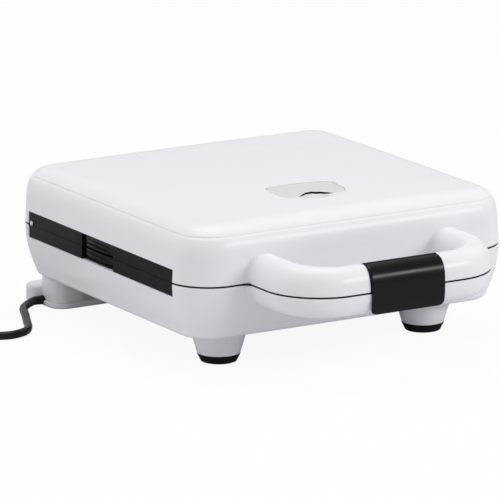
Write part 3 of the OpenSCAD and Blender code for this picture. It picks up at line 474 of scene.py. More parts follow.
def make_piece(
    name: str,
    parts: Sequence[Part],
    body: Body,
    finish: Finish,
    *nodes: str,
    wall: float = 0.0,
    bevel: float = 0.0,
    sharp_deg: float = 38.0,
    flip: bool = False,
) -> Any:
    """Makes one piece of its parts, lets it ride and hides the CAD nodes that it replaces.

    A wall is added behind the faces as given. Without a wall, the faces are turned outwards first.

    Args:
        name: name of the piece.
        parts: its points and faces.
        body: the body that it rides on.
        finish: its finish.
        nodes: the CAD nodes that it replaces.
        wall: wall that is added.
        bevel: width of the rounded edges.
        sharp_deg: edges sharper than this stay sharp in shading.
        flip: whether all faces are turned round.
    Returns:
        The object.
    """
    starts = np.cumsum([0] + [len(points) for points, _, _ in parts])
    points = np.concatenate([points for points, _, _ in parts])
    quads = np.concatenate([quads + start for (_, quads, _), start in zip(parts, starts)])
    caps = [[int(v + start) for v in cap] for (_, _, ends), start in zip(parts, starts) for cap in ends]
    mesh = bpy.data.meshes.new(name)
    mesh.from_pydata((points * MM).tolist(), [], quads.tolist() + caps)
    tool = bmesh.new()
    tool.from_mesh(mesh)
    bmesh.ops.remove_doubles(tool, verts=tool.verts, dist=2e-6)
    bmesh.ops.dissolve_degenerate(tool, edges=tool.edges, dist=1e-7)
    loose = [v for v in tool.verts if not v.link_faces]
    bmesh.ops.delete(tool, geom=loose, context="VERTS")
    if not wall:
        bmesh.ops.recalc_face_normals(tool, faces=tool.faces)
    if flip:
        bmesh.ops.reverse_faces(tool, faces=tool.faces)
    tool.to_mesh(mesh)
    tool.free()
    obj = put(name, mesh)
    if wall:
        modify(obj, "SOLIDIFY", thickness=wall * MM, offset=-1, use_even_offset=True, thickness_clamp=0)
    if bevel:
        settings = {"limit_method": "ANGLE", "angle_limit": math.radians(50), "use_clamp_overlap": True}
        modify(obj, "BEVEL", width=bevel * MM, segments=2, **settings)
    if wall or bevel:
        bpy.context.view_layer.update()
        mesh = bpy.data.meshes.new_from_object(obj.evaluated_get(bpy.context.evaluated_depsgraph_get()))
        obj.modifiers.clear()
        obj.data = mesh
        mesh.name = name
    mesh.polygons.foreach_set("use_smooth", np.ones(len(mesh.polygons), bool))
    mesh.set_sharp_from_angle(angle=math.radians(sharp_deg))
    mesh.materials.clear()
    mesh.materials.append(finish.material())
    mesh.update()
    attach(obj, body.value)
    LOG.info("%s: %d faces on %s", name, len(mesh.polygons), body.value)
    if nodes:
        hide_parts(*nodes)
    return obj


def rounded_outline(
    width: float, depth: float, radius: float, steps: int = 12, centre: Pair = (0.0, 0.0)
) -> Array:
    """Rounded rectangle: four arcs joined by straight sides in steps of up to 4, counter-clockwise.

    Args:
        width: size along X.
        depth: size along Y.
        radius: corner radius.
        steps: steps in each arc.
        centre: its middle.
    Returns:
        Array of points, two values each.
    """
    turn = np.linspace(0, np.pi / 2, steps + 1)
    arcs = []
    for k, (sx, sy) in enumerate(((1, 1), (-1, 1), (-1, -1), (1, -1))):
        angle = turn + k * np.pi / 2
        pole = np.array([sx * (width / 2 - radius), sy * (depth / 2 - radius)])
        arcs.append(pole + radius * xyz(np.cos(angle), np.sin(angle)))
    ring = np.concatenate(arcs)
    following = np.roll(ring, -1, axis=0)
    counts = np.maximum(np.ceil(np.linalg.norm(following - ring, axis=1) / 4.0).astype(int), 1)
    start = np.repeat(np.arange(len(ring)), counts)
    within = np.arange(counts.sum()) - np.repeat(np.cumsum(counts) - counts, counts)
    t = (within / np.repeat(counts, counts))[:, None]
    return ring[start] * (1 - t) + following[start] * t + np.array(centre)


def drawn_in(ring: Array, draw: Any) -> Array:
    """Copies of a counter-clockwise outline, moved in along its normals: mean edge directions turned left.

    Args:
        ring: the outline.
        draw: how far each copy is moved.
    Returns:
        Array of rows, points and two values.
    """
    along = np.roll(ring, -1, axis=0) - np.roll(ring, 1, axis=0)
    normal = xyz(-along[:, 1], along[:, 0])
    normal /= np.linalg.norm(normal, axis=1, keepdims=True)
    return ring[None] + normal[None] * np.array(draw)[:, None, None]


def slab(outline: Array, low: float, high: float, edge: float, steps: int = 4) -> Part:
    """A slab with rounded edges: the outline at both faces is drawn in by a quarter circle.

    Args:
        outline: counter-clockwise outline.
        low: height of the lower face.
        high: height of the upper face.
        edge: radius of the edges.
        steps: steps in each quarter circle.
    Returns:
        The solid.
    """
    turn = np.linspace(0, np.pi / 2, steps + 1)
    draw = np.concatenate([edge * (1 - np.sin(turn)), edge * (1 - np.cos(turn))])
    height = np.concatenate([low + edge * (1 - np.cos(turn)), high - edge * (1 - np.sin(turn))])
    return solid(lifted(drawn_in(outline, draw), height[:, None]))


def revolve(profile: Array, centre: Sequence[float], steps: int = 64) -> Part:
    """A profile of radius and height turned about a vertical axis.

    Args:
        profile: rows of radius and height, from the bottom up.
        centre: place of the axis and the zero height.
        steps: number of columns.
    Returns:
        The solid.
    """
    angle = np.linspace(0, 2 * np.pi, steps, endpoint=False)
    radius, height = profile[:, :1], profile[:, 1:]
    x, y = radius * np.cos(angle) + centre[0], radius * np.sin(angle) + centre[1]
    return solid(xyz(x, y, height + centre[2]))


def catmull(route: Array, steps: int) -> Array:
    """Catmull-Rom curve: each span is a cubic whose end slopes are half the span between the neighbours.

    Args:
        route: the points.
        steps: pieces per span.
    Returns:
        The curve's points.
    """
    before = np.concatenate([route[:1], route[:-2]])
    after = np.concatenate([route[2:], route[-1:]])
    t = (np.arange(steps) / steps)[None, :, None]
    a, b, c, d = (v[:, None] for v in (before, route[:-1], route[1:], after))
    span = 0.5 * (2 * b + (c - a) * t + (2 * a - 5 * b + 4 * c - d) * t**2 + (3 * b - a - 3 * c + d) * t**3)
    return np.concatenate([span.reshape(-1, 3), route[-1:]])


def tube(path: Array, radius: Any, sides: int) -> Part:
    """Rings round a path: each ring lies in the plane across the path, from a level and an upward direction.

    Args:
        path: points of the centre line.
        radius: radius, or one at each point.
        sides: points per ring.
    Returns:
        The solid.
    """
    tangent = np.gradient(path, axis=0)
    tangent /= np.linalg.norm(tangent, axis=1, keepdims=True)
    side = np.cross(np.array([0, 0, 1.0]), tangent)
    side /= np.linalg.norm(side, axis=1, keepdims=True)
    up = np.cross(tangent, side)
    angle = np.linspace(0, 2 * np.pi, sides, endpoint=False)
    around = side[:, None] * np.cos(angle)[None, :, None] + up[:, None] * np.sin(angle)[None, :, None]
    radii = np.broadcast_to(radius, len(path))
    return solid(path[:, None] + radii[:, None, None] * around)


# ---------------------------------------------------------------- the lead


@dataclass
class MainsLead:
    """The mains lead: the route over the table, the stored coil, its tie, the gland and the plug."""

    diameter: float = 7.0
    pitch: float = 7.8
    coil_r: float = 38.5
    start_deg: float = 240.0
    turns: float = 1230 / 360
    route: tuple[tuple[float, float, float], ...] = (
        (-128, 172, 4.6), (-135, 172, 4.6), (-142, 172, 4.6), (-149, 169, 3.9), (-156, 163, 3.5),
        (-162, 155, 3.5), (-170, 137, 3.5), (-179, 118, 3.5), (-187, 101, 3.5),
        (-196, 90, 3.5), (-211, 85, 3.5), (-225, 89, 3.5), (-239, 97, 3.5),
        (-253, 105, 3.5), (-267, 113, 3.5), (-281, 121, 3.5),
    )  # fmt: skip
    tie_half: float = 2.4
    tie_wall: float = 1.2
    tie_room: float = 0.4
    tie_corner: float = 3.5
    gland_x: float = -115.0
    bush_len: float = 12.2
    bush_r: float = 4.45
    boot_len: float = 14.8
    boot_r: float = 4.2
    taper: float = 0.55
    groove: float = 0.15
    groove_from: float = 15.0
    plug_size: float = 50.0
    plug_tall: float = 24.0
    neck_len: float = 13.0
    neck_r: float = 4.5
    neck_flare: float = 2.5
    neck_rib: float = 0.35
    pin_rows: tuple[tuple[float, ...], ...] = (
        (12, 11.1, 6.4, 4, 17.7), (12, -11.1, 6.4, 4, 17.7), (34.2, 0, 4, 8, 22.7)
    )  # fmt: skip
    outer: float = field(init=False)
    mid: Array = field(init=False)
    coil: Array = field(init=False)

    def __post_init__(self) -> None:
        """Winds the coil: a spiral in on the table, one layer up where it turns back, and out on top.

        It starts one diameter past the route's end, in line with it, and ends in a straight run as long.
        """
        start = np.radians(self.start_deg)
        first = np.array(self.route[-1]) + self.diameter * np.array([np.sin(start), -np.cos(start), 0])
        half = self.turns / 2
        self.outer = self.coil_r + self.pitch * half / 2
        self.mid = first[:2] - self.outer * np.array([np.cos(start), np.sin(start)])
        t = np.linspace(0, self.turns, int(self.turns * 96))
        r = self.outer - self.pitch * (half - np.abs(t - half))
        angle = start - 2 * np.pi * t
        height = self.diameter / 2 + self.pitch * smooth((t - half) / 0.5 + 0.5)
        turns = xyz(self.mid[0] + r * np.cos(angle), self.mid[1] + r * np.sin(angle), height)
        self.coil = np.concatenate([turns, turns[-1:] + [self.diameter, 0, 0]])

    def build(self) -> None:
        path = np.concatenate([catmull(np.array(self.route, float), 8), self.coil])
        part = tube(path, self.diameter / 2, 16)
        lead = make_piece("Mains_lead", [part], Body.BASE, PVC, "mains_lead", "lead_coil")
        tie = self.tie()
        plug = self.plug()
        pins = self.pins()
        gland = self.gland()

    def tie(self) -> Any:
        """The tie: a flat band carried round a rounded rectangle about the turns at the coil's right side.

        Returns:
            The object.
        """
        room = self.diameter / 2 + self.tie_room
        low = self.outer - self.pitch * self.turns / 2 - self.diameter / 2 - self.tie_room
        high = self.outer - self.pitch * self.start_deg / 360 + room
        tall = self.pitch + self.diameter + 2
        outline = rounded_outline(high - low + 3.0, tall, self.tie_corner)
        flat = drawn_in(outline, (0, 0, self.tie_wall, self.tie_wall))
        shift = self.tie_half * np.array([[-1], [1], [1], [-1]])
        x = self.mid[0] + (low + high) / 2 + flat[..., 0]
        rows = xyz(x, self.mid[1] + shift, tall / 2 + 0.1 + flat[..., 1])
        rows = np.concatenate([rows, rows[:1]])
        return make_piece("Lead_tie", [sheet(rows, True)], Body.BASE, PVC, "lead_tie", bevel=0.3)

    def gland(self) -> Any:
        """The gland: a bushing and a grooved boot whose radius falls along the lead's start.

        Returns:
            The object.
        """
        s = np.linspace(0, self.bush_len + self.boot_len, 55)
        boot = self.boot_r - np.clip(s - self.bush_len, 0, None) / self.boot_len * self.taper
        grooved = (s > self.groove_from) & ((np.floor((s - self.groove_from) * 2) % 3) == 1)
        radius = np.where(s < self.bush_len, self.bush_r, boot) - self.groove * grooved
        path = xyz(self.gland_x - s, *self.route[0][1:])
        return make_piece("Lead_gland", [tube(path, radius, 32)], Body.BASE, PVC, "lead_gland")

    def plug(self) -> Any:
        """The plug: a slab with rounded edges and a ribbed neck whose radius grows towards it.

        Returns:
            The object.
        """
        x, y, z = self.coil[-1]
        centre = (x + self.neck_len - 1 + self.plug_size / 2, y)
        outline = rounded_outline(self.plug_size, self.plug_size, 9, centre=centre)
        body = slab(outline, 0.05, self.plug_tall, 2.5)
        s = np.linspace(0, self.neck_len, 27)
        radius = self.neck_r + self.neck_flare * s / self.neck_len - self.neck_rib * (np.floor(s) % 2)
        neck = tube(xyz(x + s, y, z), radius, 32)
        return make_piece("Plug_body", [body, neck], Body.BASE, PVC, "plug_body")

    def pins(self) -> Any:
        """The three pins: slabs with rounded ends on the plug's upper face.

        Returns:
            The object.
        """
        x, y = self.coil[-1, 0] + self.neck_len - 1, self.coil[-1, 1]
        base = self.plug_tall
        parts = [
            slab(rounded_outline(w, d, 0.5, 3, (x + px, y + py)), base - 0.1, base + tall, 0.9)
            for px, py, w, d, tall in self.pin_rows
        ]
        return make_piece("Plug_pins", parts, Body.BASE, BRASS, "plug_pins")


# ---------------------------------------------------------------- shells


@dataclass
class BodyPlan:
    """Columns round the body, each with a centre, an outward direction and a radius.

    A point drawn in by i is centre + direction * (radius - i). Columns stand at the ends of the side openings
    and of the hinge notches.
    """

    front_r: float = 36.0
    rear_r: float = 29.0
    side_marks: tuple[float, ...] = (-67.0, 15.5, 67.5)
    hinge_marks: tuple[float, ...] = (62.0, 108.0)
    open_front: float = -82.0
    open_rear: float = 158.0
    centre: Array = field(init=False)
    out: Array = field(init=False)
    radius: Array = field(init=False)

    @staticmethod
    def arc(start: float, mark: float) -> Array:
        """Angles of a quarter circle in 20 steps, with a mark between them."""
        return np.unique(np.append(np.round(np.linspace(start, start + 90, 21), 6), mark))

    @staticmethod
    def line(a: float, b: float, marks: Sequence[float] = ()) -> Array:
        """Places strictly between two ends, in steps of 5 or a little more, with the marks among them.

        Args:
            a: the first end.
            b: the last end.
            marks: further places; those past the ends are left out.
        Returns:
            The places from a to b.
        """
        stops = sorted({a, b} | {m for m in marks if min(a, b) < m < max(a, b)}, reverse=a > b)
        counts = [max(int(abs(q - p) / 5.0), 1) for p, q in zip(stops, stops[1:])]
        spans = [np.linspace(p, q, n, endpoint=False) for p, q, n in zip(stops, stops[1:], counts)]
        return np.concatenate(spans)[1:]

    def __post_init__(self) -> None:
        """Lays the columns counter-clockwise from the left end of the front left corner."""
        fr, rr = self.front_r, self.rear_r
        xf, xr, yf, yr = HALF_W - fr, HALF_W - rr, FRONT + fr, REAR - rr
        df = math.degrees(math.asin((yf - self.open_front) / fr))
        dr = math.degrees(math.asin((self.open_rear - yr) / rr))
        hinge = [s * m for s in (-1, 1) for m in self.hinge_marks]
        runs = (
            (-xf, yf, fr, self.arc(180, 180 + df)),
            (self.line(-xf, xf), yf, fr, 270),
            (xf, yf, fr, self.arc(270, 360 - df)),
            (xf, self.line(yf, yr, self.side_marks), fr, 0),
            (xr, yr, rr, self.arc(0, dr)),
            (self.line(xr, -xr, hinge), yr, rr, 90),
            (-xr, yr, rr, self.arc(90, 180 - dr)),
            (-xf, self.line(yr, yf, self.side_marks), fr, 180),
        )
        data = np.concatenate([xyz(*run) for run in runs])
        angle = np.radians(data[:, 3])
        self.centre = data[:, :2]
        self.radius = data[:, 2]
        self.out = xyz(np.cos(angle), np.sin(angle))

    def ring(self, inset: Array) -> Array:
        """Plan points of each row, drawn in by its inset."""
        reach = np.maximum(self.radius[None] - inset[:, None], 1.0)
        return self.centre[None] + self.out[None] * reach[..., None]

    def holes(self, heights: Array, side: Pair, notch: Pair) -> Array:
        """Mask of quads to keep: those of the side openings and hinge notches are left out.

        Args:
            heights: nominal height of each row.
            side: lower and upper end of the side openings.
            notch: lower and upper end of the hinge notches.
        Returns:
            True where a quad stays.
        """
        ring = self.ring(np.zeros(1))[0]
        x, y = ((ring + np.roll(ring, -1, axis=0)) / 2).T
        tall = halfway(heights)[:, None]
        at_side = (np.abs(x) > HALF_W - 1) & (y > self.open_front) & (y < self.open_rear)
        low, high = self.hinge_marks
        at_hinge = (y > REAR - 1) & (np.abs(x) > low) & (np.abs(x) < high)
        cut = at_side[None] & (tall > side[0]) & (tall < side[1])
        return ~(cut | (at_hinge[None] & (tall > notch[0]) & (tall < notch[1])))


def lid_inset(h: Array) -> Array:
    """Draw-in of the lid's outside: the draft over the side, then the superellipse
    24 (1 - (1 - ((h - 18) / 29)^q)^(1/q)) with q = 2.6.

    Args:
        h: height above the parting plane.
    Returns:
        The draw-in.
    """
    over = np.clip((h - SIDE_H) / SHOULDER_H, 0, 1)
    share = 1 - (1 - over**SHOULDER_POWER) ** (1 / SHOULDER_POWER)
    return DRAFT * np.minimum(h, SIDE_H) / SIDE_H + SHOULDER_IN * share


def base_inset(h: Array) -> Array:
    """Draw-in of the base's outside at depth h below the parting plane: an arc of radius 95."""
    return BASE_ARC - np.sqrt(BASE_ARC**2 - h**2)


def crown(xy: Array) -> Array:
    """Height of the lid's crown: greatest in the middle, a parabola to nothing at all four sides."""
    return CROWN_H * (1 - (xy[..., 0] / HALF_W) ** 2) * (1 - ((xy[..., 1] - MID_Y) / HALF_D) ** 2)


@dataclass
class WindowShape:
    """Outline of the indicator window and the finger scoop in front of it, as seen from above."""

    centre: Pair = (0.5, -35.0)
    outline: tuple[Pair, ...] = (
        (31.5, -35.0), (32.9, -23.3), (28.0, -20.6), (14.0, -17.2), (0.0, -15.8), (-15.7, -15.3),
        (-26.9, -16.7), (-30.0, -21.0), (-31.0, -35.0), (-31.2, -50.5), (-29.4, -54.8), (-24.8, -56.6),
        (-19.0, -54.6), (-12.5, -49.2), (-6.0, -45.0), (0.0, -44.6), (6.0, -47.8), (10.1, -51.9),
        (14.5, -56.2), (20.0, -58.0), (25.5, -56.3), (29.0, -51.5),
    )  # fmt: skip
    scoop_mid: Pair = (-1.0, -51.5)
    scoop_half: Pair = (19.5, 13.5)
    scoop_depth: float = 2.3
    top_z: float = 123.0

    def reach(self, angle: Array) -> Array:
        """Distance of the outline from its centre: straight between the outline's points, then smoothed.

        Args:
            angle: directions in radians.
        Returns:
            The distance in each direction.
        """
        pts = np.array(self.outline) - np.array(self.centre)
        a = np.unwrap(np.arctan2(pts[:, 1], pts[:, 0]))
        around = np.concatenate([a - 2 * np.pi, a, a + 2 * np.pi])
        fine = np.linspace(a[0] - 2 * np.pi, a[0] + 2 * np.pi, 1441)
        value = np.interp(fine, around, np.tile(np.linalg.norm(pts, axis=1), 3))
        kernel = np.hanning(11)
        value = np.convolve(np.pad(value, 5, mode="wrap"), kernel / kernel.sum(), mode="valid")
        return np.interp(np.mod(angle - a[0], 2 * np.pi) + a[0], fine, value)

    def points(self, angle: Array, shrink: float = 0.0) -> Array:
        """Outline points in given directions, drawn towards the centre by a distance."""
        r = self.reach(angle) - shrink
        return np.array(self.centre) + r[..., None] * xyz(np.cos(angle), np.sin(angle))

    def surface(self, xy: Array) -> Array:
        """Height of the lid's top at a point: the crown less the scoop, a smooth dip over an ellipse."""
        away = ((xy - np.array(self.scoop_mid)) / np.array(self.scoop_half)) ** 2
        return self.top_z + crown(xy) - smooth(1 - away.sum(axis=-1)) * self.scoop_depth

    def under(self, xy: Array, drop: float) -> Array:
        """Plan points set at a depth under the lid's crown."""
        return lifted(xy, self.top_z + crown(xy) - drop)


@dataclass
class LidShell:
    """The white lid without its handle: side, shoulder, crown and the openings of window, sides and hinge."""

    plan: BodyPlan
    window: WindowShape
    rim_heights: tuple[float, ...] = (76.7, 76.85, 77.2, 79.0, 82.8, 85.0, 87.3, 89.5, 92.0)
    crease_h: float = 21.4
    crease_in: float = 0.6
    crease_half: float = 0.75
    side_hole: Pair = (70.0, 87.3)
    hinge_notch: Pair = (70.0, 82.8)
    lip: tuple[Pair, ...] = ((0.18, 0.08), (0.4, 0.35), (0.5, 0.9), (0.5, 3.2))

    def rows(self) -> tuple[Array, Array]:
        """Rows of the outer surface from the rim to the window.

        Up to z 94 the side leans in by the draft. The shoulder is a quarter superellipse of power q = 2.6:
        inset = draft + 24 (1 - cos(a)^(2/q)), height = 94 + 29 sin(a)^(2/q). A shallow crease runs round it,
        a bell curve of the height that draws it in by 0.6. From the shoulder's end the plan points slide in
        straight lines to the window's outline, whose rounded lip runs down.

        Returns:
            The points and each row's nominal height.
        """
        rim = np.array(self.rim_heights)
        lean = DRAFT * (rim - PARTING) / SIDE_H
        lean[:2] += (0.5, 0.12)
        a = np.radians(np.unique(np.concatenate([np.linspace(0, 90, 31), np.linspace(37.5, 47.5, 17)])))
        level, up = superellipse(a, SHOULDER_POWER)
        share = 1 - level
        up = SHOULDER_H * up
        crease = self.crease_in * np.exp(-(((up - self.crease_h) / self.crease_half) ** 2))
        inset = np.concatenate([lean, DRAFT + SHOULDER_IN * share + crease])
        height = np.concatenate([rim, PARTING + SIDE_H + up])
        rise = np.concatenate([np.zeros(len(rim)), smooth(share)])
        plan = self.plan.ring(inset)
        outer = lifted(plan, height[:, None] + rise[:, None] * crown(plan))
        toward = plan[-1] - np.array(self.window.centre)
        angle = np.arctan2(toward[:, 1], toward[:, 0])
        goal = self.window.points(angle)
        slide = between(plan[-1], goal, 1 - (1 - np.linspace(0, 1, 37)[1:]) ** 1.25)
        edge_z = self.window.surface(goal)
        lip = [lifted(self.window.points(angle, shrink), edge_z - drop) for shrink, drop in self.lip]
        points = np.concatenate([outer, lifted(slide, self.window.surface(slide)), np.array(lip)])
        nominal = np.concatenate([height, np.full(len(points) - len(height), 200.0)])
        return points, nominal

    def build(self) -> None:
        """Makes the shell with its openings."""
        points, nominal = self.rows()
        keep = self.plan.holes(nominal, self.side_hole, self.hinge_notch)
        part = sheet(points, True, keep)
        make_piece("Lid_shell", [part], Body.LID, WHITE_SHELL, "lid_shell", wall=SHELL_WALL)


@dataclass
class BaseShell:
    """The white base without its handle: convex side, rounded lower edge, closed underside and foot cones."""

    plan: BodyPlan
    row_heights: tuple[float, ...] = (75.3, 75.15, 74.8, 73, 71.2, 69, 67, 64.7, 60, 55, 50, 45, 40, 35)
    side_hole: Pair = (64.7, 80.0)
    hinge_notch: Pair = (71.2, 80.0)
    under_z: float = 30.0
    under_r: float = 5.0
    cone_z: float = 7.25
    cone_r: float = 17.8
    cone_flare: float = 6.6
    cone_run_out: float = 1.5
    cone_bore: float = 5.4

    def rows(self) -> tuple[Array, Array]:
        """Rows from the rim to the middle of the underside.

        The side is an arc of radius 95: inset = 95 - sqrt(95^2 - h^2) at h below the parting plane. A quarter
        circle of radius 5 follows, then the plan points slide in straight lines to a small ring.

        Returns:
            The points and each row's nominal height.
        """
        top = np.array(self.row_heights)
        inset = base_inset(PARTING - top)
        inset[:2] += (0.5, 0.12)
        a = np.radians(np.linspace(0, 90, 9)[1:])
        inset = np.concatenate([inset, inset[-1] + self.under_r * (1 - np.cos(a))])
        height = np.concatenate([top, self.under_z + self.under_r * (1 - np.sin(a))])
        plan = self.plan.ring(inset)
        mid = np.array([0, MID_Y])
        slide = between(plan[-1], mid + (plan[-1] - mid) * 0.05, np.linspace(0, 1, 13)[1:])
        points = np.concatenate([lifted(plan, height[:, None]), lifted(slide, self.under_z)])
        return points, np.concatenate([height, np.zeros(len(slide))])

    def build(self) -> None:
        """Makes the shell with its openings and the face that closes the underside's middle."""
        rows, nominal = self.rows()
        points, quads, _ = sheet(rows, True, self.plan.holes(nominal, self.side_hole, self.hinge_notch))
        part = (points, quads, solid(rows)[2][1:])
        make_piece("Base_shell", [part], Body.BASE, WHITE_SHELL, "base_shell", wall=SHELL_WALL, flip=True)

    def cones(self) -> None:
        """The foot cones: the radius falls from 25.9 at the underside to 17.8, with a run-out at the top."""
        t = np.linspace(0, 1, 13)
        z = self.cone_z
        radius = self.cone_r + self.cone_flare * t + self.cone_run_out * t**6
        profile = xyz(radius, z + (self.under_z - 0.02 - z) * t)
        low = np.array([[self.cone_bore, z + 3.6], [self.cone_bore, z], [self.cone_r - 0.4, z]])
        parts = [revolve(np.concatenate([low, profile]), foot) for foot in FEET]
        make_piece("Foot_cones", parts, Body.BASE, WHITE_SHELL, "foot_cones")


@dataclass
class Handle:
    """Handle halves: a half superellipse of power 2.3 carried along a loop in front of the body."""

    half_w: float = 103.0
    reach: float = 77.0
    arm_w: float = 31.0
    bar_d: float = 27.0
    bend_r: float = 35.0
    fillet: float = 3.0
    power: float = 2.3
    gap: float = 0.7
    foot: float = 0.35
    up: float = 23.5
    fall: float = 2.0
    down: float = 19.5
    cut_x: float = 35.2
    cut_q: float = 3.0
    end_x: tuple[float, ...] = (35.25, 35.4, 37.9)
    slot_x: float = 15.4
    slot_low: float = 5.8
    slot_high: float = 11.0

    @property
    def bar_y(self) -> float:
        """Middle of the bar in Y."""
        return FRONT - self.reach + self.bar_d / 2

    def stations(self, mark: float) -> Array:
        """Stations of the right half of the loop, then of the left half.

        Args:
            mark: place along the bar that needs a station.
        Returns:
            Rows of x, y, turn in degrees, half width and nearness to the body.
        """
        arm_x = self.half_w - self.arm_w / 2
        end_y = self.bar_y + self.bend_r
        d = self.fillet * np.array([-0.3, 0, 0.01, 0.04, 0.09, 0.16, 0.25, 0.36, 0.5, 0.7, 1.0])
        u = 1 - np.clip(d, 0, self.fillet) / self.fillet
        flare = self.fillet * (1 - np.sqrt(1 - u * u))
        arm = xyz(arm_x, FRONT - d, 0, self.arm_w / 2 + flare, smooth(1 - np.clip(d, 0, None) / self.fillet))
        mid = np.array([[arm_x, (FRONT - self.fillet + end_y) / 2, 0, self.arm_w / 2, 0]])
        a = np.linspace(0, 90, 25)
        x = arm_x - self.bend_r * (1 - np.cos(np.radians(a)))
        y = end_y - self.bend_r * np.sin(np.radians(a))
        bend = xyz(x, y, -a, (self.arm_w + (self.bar_d - self.arm_w) * a / 90) / 2, 0)
        stop = arm_x - self.bend_r
        along = np.unique(np.append(np.linspace(0, stop, 12)[:-1], mark))[::-1]
        bar = xyz(along, self.bar_y, -90, self.bar_d / 2, 0)
        right = np.concatenate([arm, mid, bend, bar])
        left = right[::-1][1:] * np.array([-1, 1, 1, 1, 1])
        left[:, 2] = -180 - left[:, 2]
        return np.concatenate([right, left])

    def section(self, marks: Sequence[float], height: float) -> Array:
        """Angles of the section's points from the gap's edge on.

        Args:
            marks: heights that need a point on both sides.
            height: height of the section.
        Returns:
            The angles in degrees.
        """
        foot = self.gap + np.array([0, 0.06, 0.15, 0.3, 0.5])
        extra = np.degrees(np.arcsin((np.concatenate([foot, marks]) / height) ** (self.power / 2)))
        base = np.linspace(5, 175, 41)
        return np.unique(np.round(np.concatenate([base, extra, 180 - extra]), 6))

    def surface(self, height: float, in_lid: bool, stations: Array, angles: Array) -> Array:
        """Points of a handle half.

        The section is (a cos^(2/q), b sin^(2/q)) with a the station's half width and b the height. It starts
        at the edge of the gap, where its foot is rounded. The upper half is lower by the fall on the bar than
        on the arms. Near the body the section leans back with the body's front wall.

        Args:
            height: height of the section.
            in_lid: whether it is the upper half.
            stations: rows of x, y, turn, half width and nearness.
            angles: the section's angles in degrees.
        Returns:
            Array of stations, section points and three values.
        """
        across, tall = superellipse(np.radians(angles), self.power)
        q = stations[:, 3:4] * across[None]
        on_bar = 1 - np.abs(stations[:, 2] + 90) / 90
        full = height - (self.fall * on_bar if in_lid else 0 * on_bar)
        above = (tall - self.gap / height) / (1 - self.gap / height)
        h = self.gap + (full - self.gap)[:, None] * np.maximum(above, 0)[None]
        near_gap = np.clip(1 - (h - self.gap) / 0.5, 0, 1)
        q = q - np.sign(q) * self.foot * near_gap**2
        lean = stations[:, 4:5] * (lid_inset(h) if in_lid else base_inset(h))
        turn = np.radians(stations[:, 2])[:, None]
        x = stations[:, 0:1] + q * np.cos(turn)
        y = stations[:, 1:2] + q * np.sin(turn) + lean
        return xyz(x, y, PARTING + (h if in_lid else -h))

    def build_upper(self) -> None:
        """The upper half, with the place of the latch left out in front of the bar's middle."""
        stations = self.stations(self.cut_x)
        cut_deg = math.degrees(math.acos(-((self.cut_q / (self.bar_d / 2)) ** (self.power / 2))))
        angles = np.unique(np.append(self.section((), self.up), round(cut_deg, 6)))
        points = self.surface(self.up, True, stations, angles)
        on_bar = stations[:, 1] < self.bar_y + 0.5
        at_latch = (np.abs(halfway(stations[:, 0])) < self.cut_x) & on_bar[:-1] & on_bar[1:]
        keep = ~(at_latch[:, None] & (halfway(angles) < cut_deg)[None])
        make_piece("Lid_handle", [sheet(points, False, keep)], Body.LID, WHITE_SHELL, wall=SHELL_WALL)

    def build_ends(self) -> None:
        """End walls beside the latch: the section drawn in by 0.5, cut off above the gap, carried along X."""
        across, tall = superellipse(np.radians(np.linspace(4, 128, 32)), self.power)
        foot = self.gap + 0.1
        q = (self.bar_d / 2 - 0.5) * across
        h = np.append(np.maximum((self.up - self.fall - 0.5) * tall, foot), foot)
        q = np.append(q, q[-1])
        parts = []
        for s in (-1, 1):
            rows = xyz(s * np.array(self.end_x)[:, None], self.bar_y - q, PARTING + h)
            rows[0, :, 1:] += (np.array([self.bar_y, PARTING + 10.0]) - rows[0, :, 1:]) * 0.01
            parts.append(solid(rows))
        make_piece("Handle_ends", parts, Body.LID, WHITE_SHELL)

    def build_lower(self) -> None:
        """The lower half, with the slot for the latch's tongue in its front."""
        stations = self.stations(self.slot_x)
        angles = self.section((self.slot_low, self.slot_high), self.down)
        points = self.surface(self.down, False, stations, angles)
        drop = self.down * superellipse(np.radians(halfway(angles)), self.power)[1]
        in_slot = (drop > self.slot_low) & (drop < self.slot_high) & (angles[:-1] < 90)
        at_slot = np.abs(halfway(stations[:, 0])) < self.slot_x
        part = sheet(points, False, ~(at_slot[:, None] & in_slot[None]))
        make_piece("Base_handle", [part], Body.BASE, WHITE_SHELL, wall=SHELL_WALL, flip=True)


